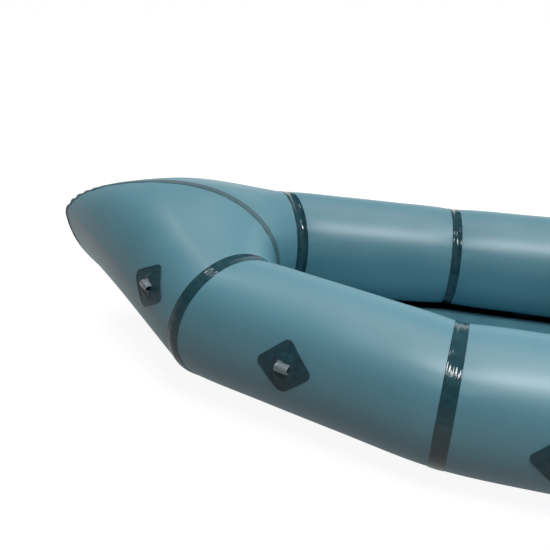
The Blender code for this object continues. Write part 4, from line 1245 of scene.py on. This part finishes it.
def ribbed(obj, sides, radius, depth, low, high):
    """Raise every other side face into a grip rib."""
    def is_rib(middle, normal):
        turn = round((math.atan2(middle.y, middle.x) / (2 * math.pi)) * sides - 0.5)
        return (turn % 2 == 0 and low < middle.z < high and abs(normal.z) < 0.2
                and abs(middle.xy.length - radius) < radius * 0.02
                and normal.x * middle.x + normal.y * middle.y > 0)
    edit(obj)
    pick(obj, is_rib)
    bpy.ops.mesh.inset(thickness=depth / 2, depth=depth, use_individual=True)
    leave(obj)


def eased(obj, width, segments=2):
    """Soften the edges of a moulded part and shade it smooth over them."""
    modified(obj, "BEVEL", width=width, segments=segments, limit_method="ANGLE",
             angle_limit=math.radians(35))
    obj.select_set(True)
    bpy.ops.object.shade_smooth_by_angle(angle=math.radians(35))
    obj.select_set(False)


def placed(obj, line):
    """Stand a part made on the world's Z axis on a joint's axis."""
    turn = Vector((0, 0, 1)).rotation_difference(Vector(line["axis"])).to_matrix().to_4x4()
    obj.data.transform(Matrix.Translation(line["pos"]) @ turn)


def moulded(obj, ease, line, node, body="hull"):
    """Finish a plastic part: its edges eased, on its joint's axis, in place of its solid."""
    eased(obj, ease)
    placed(obj, line)
    finished(obj, valve_plastic, [node], body)


# %% [markdown]
# ### Mouth valves
#
# Each cushion is blown up by mouth through a twist-lock valve: a flanged stem welded through the
# cloth and a mouthpiece that turns on it to open. The mouthpiece has grip ribs and narrows to its
# lip.

# %% Mouth valves
for cushion, body in (("seat", "hull"), ("back", "backrest")):
    line = axes[cushion + "_mouthpiece_turn"]
    stem = turned_part(cushion + "_valve_flange", 40, 0.012, 0.0003, 0.0017,
                       above=[(0.0072, 0.0018), (0.0048, 0.0022), (0.0048, 0.018),
                              (0.0026, 0.018), (0.0026, 0.006)],
                       below=[(0.0048, 0.0003), (0.0048, -0.006), (0.0026, -0.006),
                              (0.0026, 0.006)], bore=True)
    moulded(stem, 0.0002, line, cushion + "_valve_stem", body)
    piece = turned_part(cushion + "_twist_mouthpiece", 32, 0.0074, 0.0021, 0.0150,
                        above=[(0.0074, 0.0178), (0.0066, 0.0188), (0.0062, 0.0206),
                               (0.0066, 0.0219), (0.0026, 0.0219), (0.0026, 0.0184)],
                        below=[(0.0052, 0.0021), (0.0052, 0.0184), (0.0026, 0.0184)], bore=True)
    ribbed(piece, 32, 0.0074, 0.0004, 0.003, 0.015)
    moulded(piece, 0.0002, line, cushion + "_mouthpiece", cushion + "_mouthpiece")

# %% [markdown]
# ### Main valve
#
# The tube is filled through a large valve on top of the starboard side. A round patch holds it,
# the cap turns on its collar, and a tether keeps the cap with the boat. Under the cap a push
# button opens a disc against a spring. The base, the guide and the disc are fine in the packed
# model and only get their material, once the spring is made.

# %% Main valve
VALVE_PATCH_RADIUS = 0.043
VALVE_HOLE = 0.0208
PATCH_RINGS = 10
PATCH_SPOKES = 96

valve_spot = spot_of("valve_patch", "rear_panel")
turns = np.arange(PATCH_SPOKES) * 2 * math.pi / PATCH_SPOKES
radii = np.append(np.linspace(VALVE_HOLE, VALVE_PATCH_RADIUS - 0.0006, PATCH_RINGS),
                  VALVE_PATCH_RADIUS)[:, None]
points, normals = chart(valve_spot, radii * np.cos(turns), radii * np.sin(turns))
lift = PATCH_LIFT + 0.0002 * np.sin(9 * np.tile(turns, len(radii)))
points += lift[:, None] * normals
port = grid_mesh("port valve cloth", points.reshape(len(radii), PATCH_SPOKES, 3))
facing(port, valve_spot["normal"])
cloth = twin(port, "valve_round_patch")
bpy.data.objects.remove(port)
thicken(cloth, PATCH_SHEET)
finished(cloth, patch_cloth, ["valve_patch"])

line = axes["valve_cap_turn"]
bpy.ops.mesh.primitive_cylinder_add(vertices=96, radius=VALVE_HOLE, depth=0.03,
                                    location=line["pos"])
cutter = bpy.context.object
rear_skin = bpy.data.objects["rear_panel_skin_starboard"]
modified(rear_skin, "BOOLEAN", operation="DIFFERENCE", object=cutter)
bpy.data.objects.remove(cutter)
print("rear skin with its hole, faces:", len(rear_skin.data.polygons))

# %% Cap and tether
cap = turned_part("valve_screw_cap", 48, 0.0278, 0.0048, 0.0141,
                  above=[(0.0272, 0.0150), (0.0262, 0.0153), (0.0215, 0.0153), (0.0205, 0.0143),
                         (0.010, 0.0141)],
                  below=[(0.0239, 0.0048), (0.0239, 0.0129)])
ribbed(cap, 48, 0.0278, 0.0006, 0.005, 0.0141)
eased(cap, 0.0003)
bpy.ops.mesh.primitive_cube_add(size=1, location=(0, 0, 0.0145), scale=(0.034, 0.0052, 0.0016))
bar = bpy.context.object
bpy.ops.object.transform_apply()
eased(bar, 0.0007, 3)
join(cap, bar)
placed(cap, line)
finished(cap, valve_plastic, ["valve_cap"], "valve_cap")

tether = turned_part("valve_tether_ring", 64, 0.0284, 0.0024, 0.0040,
                     above=[(0.0239, 0.0040), (0.0239, 0.0032)],
                     below=[(0.0239, 0.0024), (0.0239, 0.0032)], bore=True)
edit(tether)
pick(tether, lambda middle, normal: normal.x > 0.99 and middle.x > 0.028)
bpy.ops.mesh.extrude_region_move(TRANSFORM_OT_translate={"value": (0.011, 0, 0)})
bpy.ops.mesh.extrude_region_move(TRANSFORM_OT_translate={"value": (0.003, 0, 0)})
bpy.ops.transform.resize(value=(1, 0.6, 1), center_override=(0.0424, 0, 0.0032))
leave(tether)
moulded(tether, 0.0003, line, "valve_tether")

# %% [markdown]
# The spring under the poppet is wound here again.
# It takes its foot and head from the imported spring.

# %% Coil spring
SPRING_RADIUS = 0.0037
SPRING_WIRE = 0.0005
SPRING_TURNS = 4

heights = (places_of(frame["nodes"]["valve_spring"]) - line["pos"]) @ np.array(line["axis"])
foot, head = float(heights.min()), float(heights.max())
turns = np.linspace(0, 2 * math.pi * SPRING_TURNS, 24 * SPRING_TURNS + 1)
rise = np.linspace(foot + SPRING_WIRE, head - SPRING_WIRE, len(turns))
radial = np.stack([np.cos(turns), np.sin(turns), 0 * turns], axis=1)
round_wire = (np.arange(10) * 2 * math.pi / 10)[:, None]
up = np.array([0, 0, 1.0])
wire = SPRING_WIRE * (radial[:, None] * np.cos(round_wire) + up * np.sin(round_wire))
middle = SPRING_RADIUS * radial + rise[:, None] * up
coil = closed_up(grid_mesh("valve_coil_spring", middle[:, None] + wire))
placed(coil, line)
finished(coil, spring_steel, ["valve_spring"])
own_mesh(coil)
print("spring, foot to head:", round(head - foot, 4))

for name in ("valve_base", "valve_guide", "valve_poppet"):
    for slot in frame["nodes"][name].material_slots:
        slot.material = valve_plastic

# %% [markdown]
# ## Studio
#
# A plain floor in a pale room. To the camera the floor and the world are white, except where the
# boat shades the floor. In reflections the floor behind the boat is white too, and the floor
# before it is grey, because the photograph's tubes are dark low on the side that faces the camera.

# %% Floor
FLOOR_HALF = 40.0
FLOOR_DROP = 0.0005
FLOOR_LIT_REACH = 1.2
FLOOR_FAR_REACH = 4.0
FLOOR_SEEN = 0.92
FLOOR_BEHIND = 1.0
FLOOR_BEFORE = 0.36


def backdrop_rays(mat):
    """1 for what the camera and reflections see, 0 for the light on the boat."""
    seen = add_node(mat, "LightPath", out="Is Camera Ray")
    for kind in ("Glossy", "Transmission"):
        seen = add_node(mat, "Math", {"operation": "MAXIMUM"},
                        {0: seen, 1: add_node(mat, "LightPath", out=f"Is {kind} Ray")})
    return seen


studio_floor, shader = new_material("studio floor", "7a7a7a", 0.9)
bpy.ops.mesh.primitive_plane_add(size=2 * FLOOR_HALF, location=(0, 0, -FLOOR_DROP))
ground = bpy.context.object
ground.name = "studio_floor"
ground.select_set(False)
ground.data.materials.append(studio_floor)
spot = add_node(studio_floor, "TexCoord", out="Object")
distance = add_node(studio_floor, "VectorMath", {"operation": "LENGTH"}, {0: spot}, out="Value")
seen = add_node(studio_floor, "MapRange", None,
                {"Value": distance, "From Min": FLOOR_LIT_REACH, "From Max": FLOOR_FAR_REACH,
                 "To Min": FLOOR_SEEN, "To Max": 1})
across = add_node(studio_floor, "SeparateXYZ", None, {0: spot}, out="Y")
reflected = add_node(studio_floor, "MapRange", None,
                     {"Value": across, "From Min": -1, "From Max": 0.5,
                      "To Min": FLOOR_BEHIND, "To Max": FLOOR_BEFORE})
white = add_node(studio_floor, "Mix", {"data_type": "FLOAT"},
                 {0: add_node(studio_floor, "LightPath", out="Is Camera Ray"),
                  2: reflected, 3: seen})
white = add_node(studio_floor, "Math", {"operation": "MULTIPLY"},
                 {0: white, 1: backdrop_rays(studio_floor)})
glow = add_node(studio_floor, "Emission", None, {"Color": (1, 1, 1, 1), "Strength": white})
both = add_node(studio_floor, "AddShader", None, {0: shader.outputs[0], 1: glow})
feed(studio_floor.node_tree.nodes["Material Output"], {"Surface": both})
print("studio floor:", round(ground.dimensions.x), "m wide")

# %% [markdown]
# In reflections the world is a pale wall behind the boat, with a dim front and a dim ceiling, so
# that the glossy tapes stay dark between the reflections of the lamps. The light that the world
# sheds on the boat comes from a round dome overhead that leans back from the camera. The lamps
# stand where the bars on the tapes of the photograph say they stood. The bow and stern boxes show
# in reflections only.

# %% World and lamps
DOME_AXIS = (-0.10, -0.39, 0.915)
DOME_LIGHT = 3.0
SMOOTH = {"interpolation_type": "SMOOTHSTEP"}

world = bpy.data.worlds.new("studio")
bpy.context.scene.world = world
world.use_nodes = True
spot = add_node(world, "TexCoord", out="Generated")
wall = add_node(world, "MapRange", SMOOTH,
                {"Value": add_node(world, "SeparateXYZ", None, {0: spot}, out="Y"),
                 "From Min": -0.6, "From Max": 0.2, "To Min": 1, "To Max": 0.3})
ceiling = add_node(world, "MapRange", SMOOTH,
                   {"Value": add_node(world, "SeparateXYZ", None, {0: spot}, out="Z"),
                    "From Min": 0.1, "From Max": 0.45, "To Min": wall, "To Max": 0.06})
overhead = add_node(world, "VectorMath", {"operation": "DOT_PRODUCT"}, {0: spot, 1: DOME_AXIS},
                    out="Value")
dome = add_node(world, "MapRange", SMOOTH,
                {"Value": overhead, "From Min": 0.78, "From Max": 0.98, "To Min": 0.02,
                 "To Max": DOME_LIGHT})
level = add_node(world, "Mix", {"data_type": "FLOAT"},
                 {0: backdrop_rays(world), 2: dome, 3: ceiling})
level = add_node(world, "Mix", {"data_type": "FLOAT"},
                 {0: add_node(world, "LightPath", out="Is Camera Ray"), 2: level, 3: 1})
feed(world.node_tree.nodes["Background"], {"Color": (1, 1, 1, 1), "Strength": level})


def soft_box(name, place, target, width, length, watts, on_surfaces=True):
    """A rectangular lamp at a place, turned to a target."""
    data = bpy.data.lights.new(name, "AREA")
    data.shape, data.energy = "RECTANGLE", watts
    data.size, data.size_y = width, length
    lamp = new_object(name, data)
    lamp.location = place
    lamp.rotation_euler = (Vector(target) - Vector(place)).to_track_quat("-Z", "Y").to_euler()
    lamp.visible_diffuse = on_surfaces
    print(name, watts, "W")


soft_box("key box", (-0.7, 1.24, 2.9), (0, 0.1, 0.2), 1.5, 0.42, 44)
soft_box("bow box", (1.9, -0.5, 2.9), (0.5, 0.25, 0.25), 0.6, 0.2, 6, on_surfaces=False)
soft_box("key wash", (-1.1, 1.7, 2.7), (0, 0.1, 0.2), 1.2, 1.0, 2)
soft_box("stern box", (-1.48, -0.14, 2.9), (0.4, -0.14, 0.28), 0.5, 0.6, 11, on_surfaces=False)
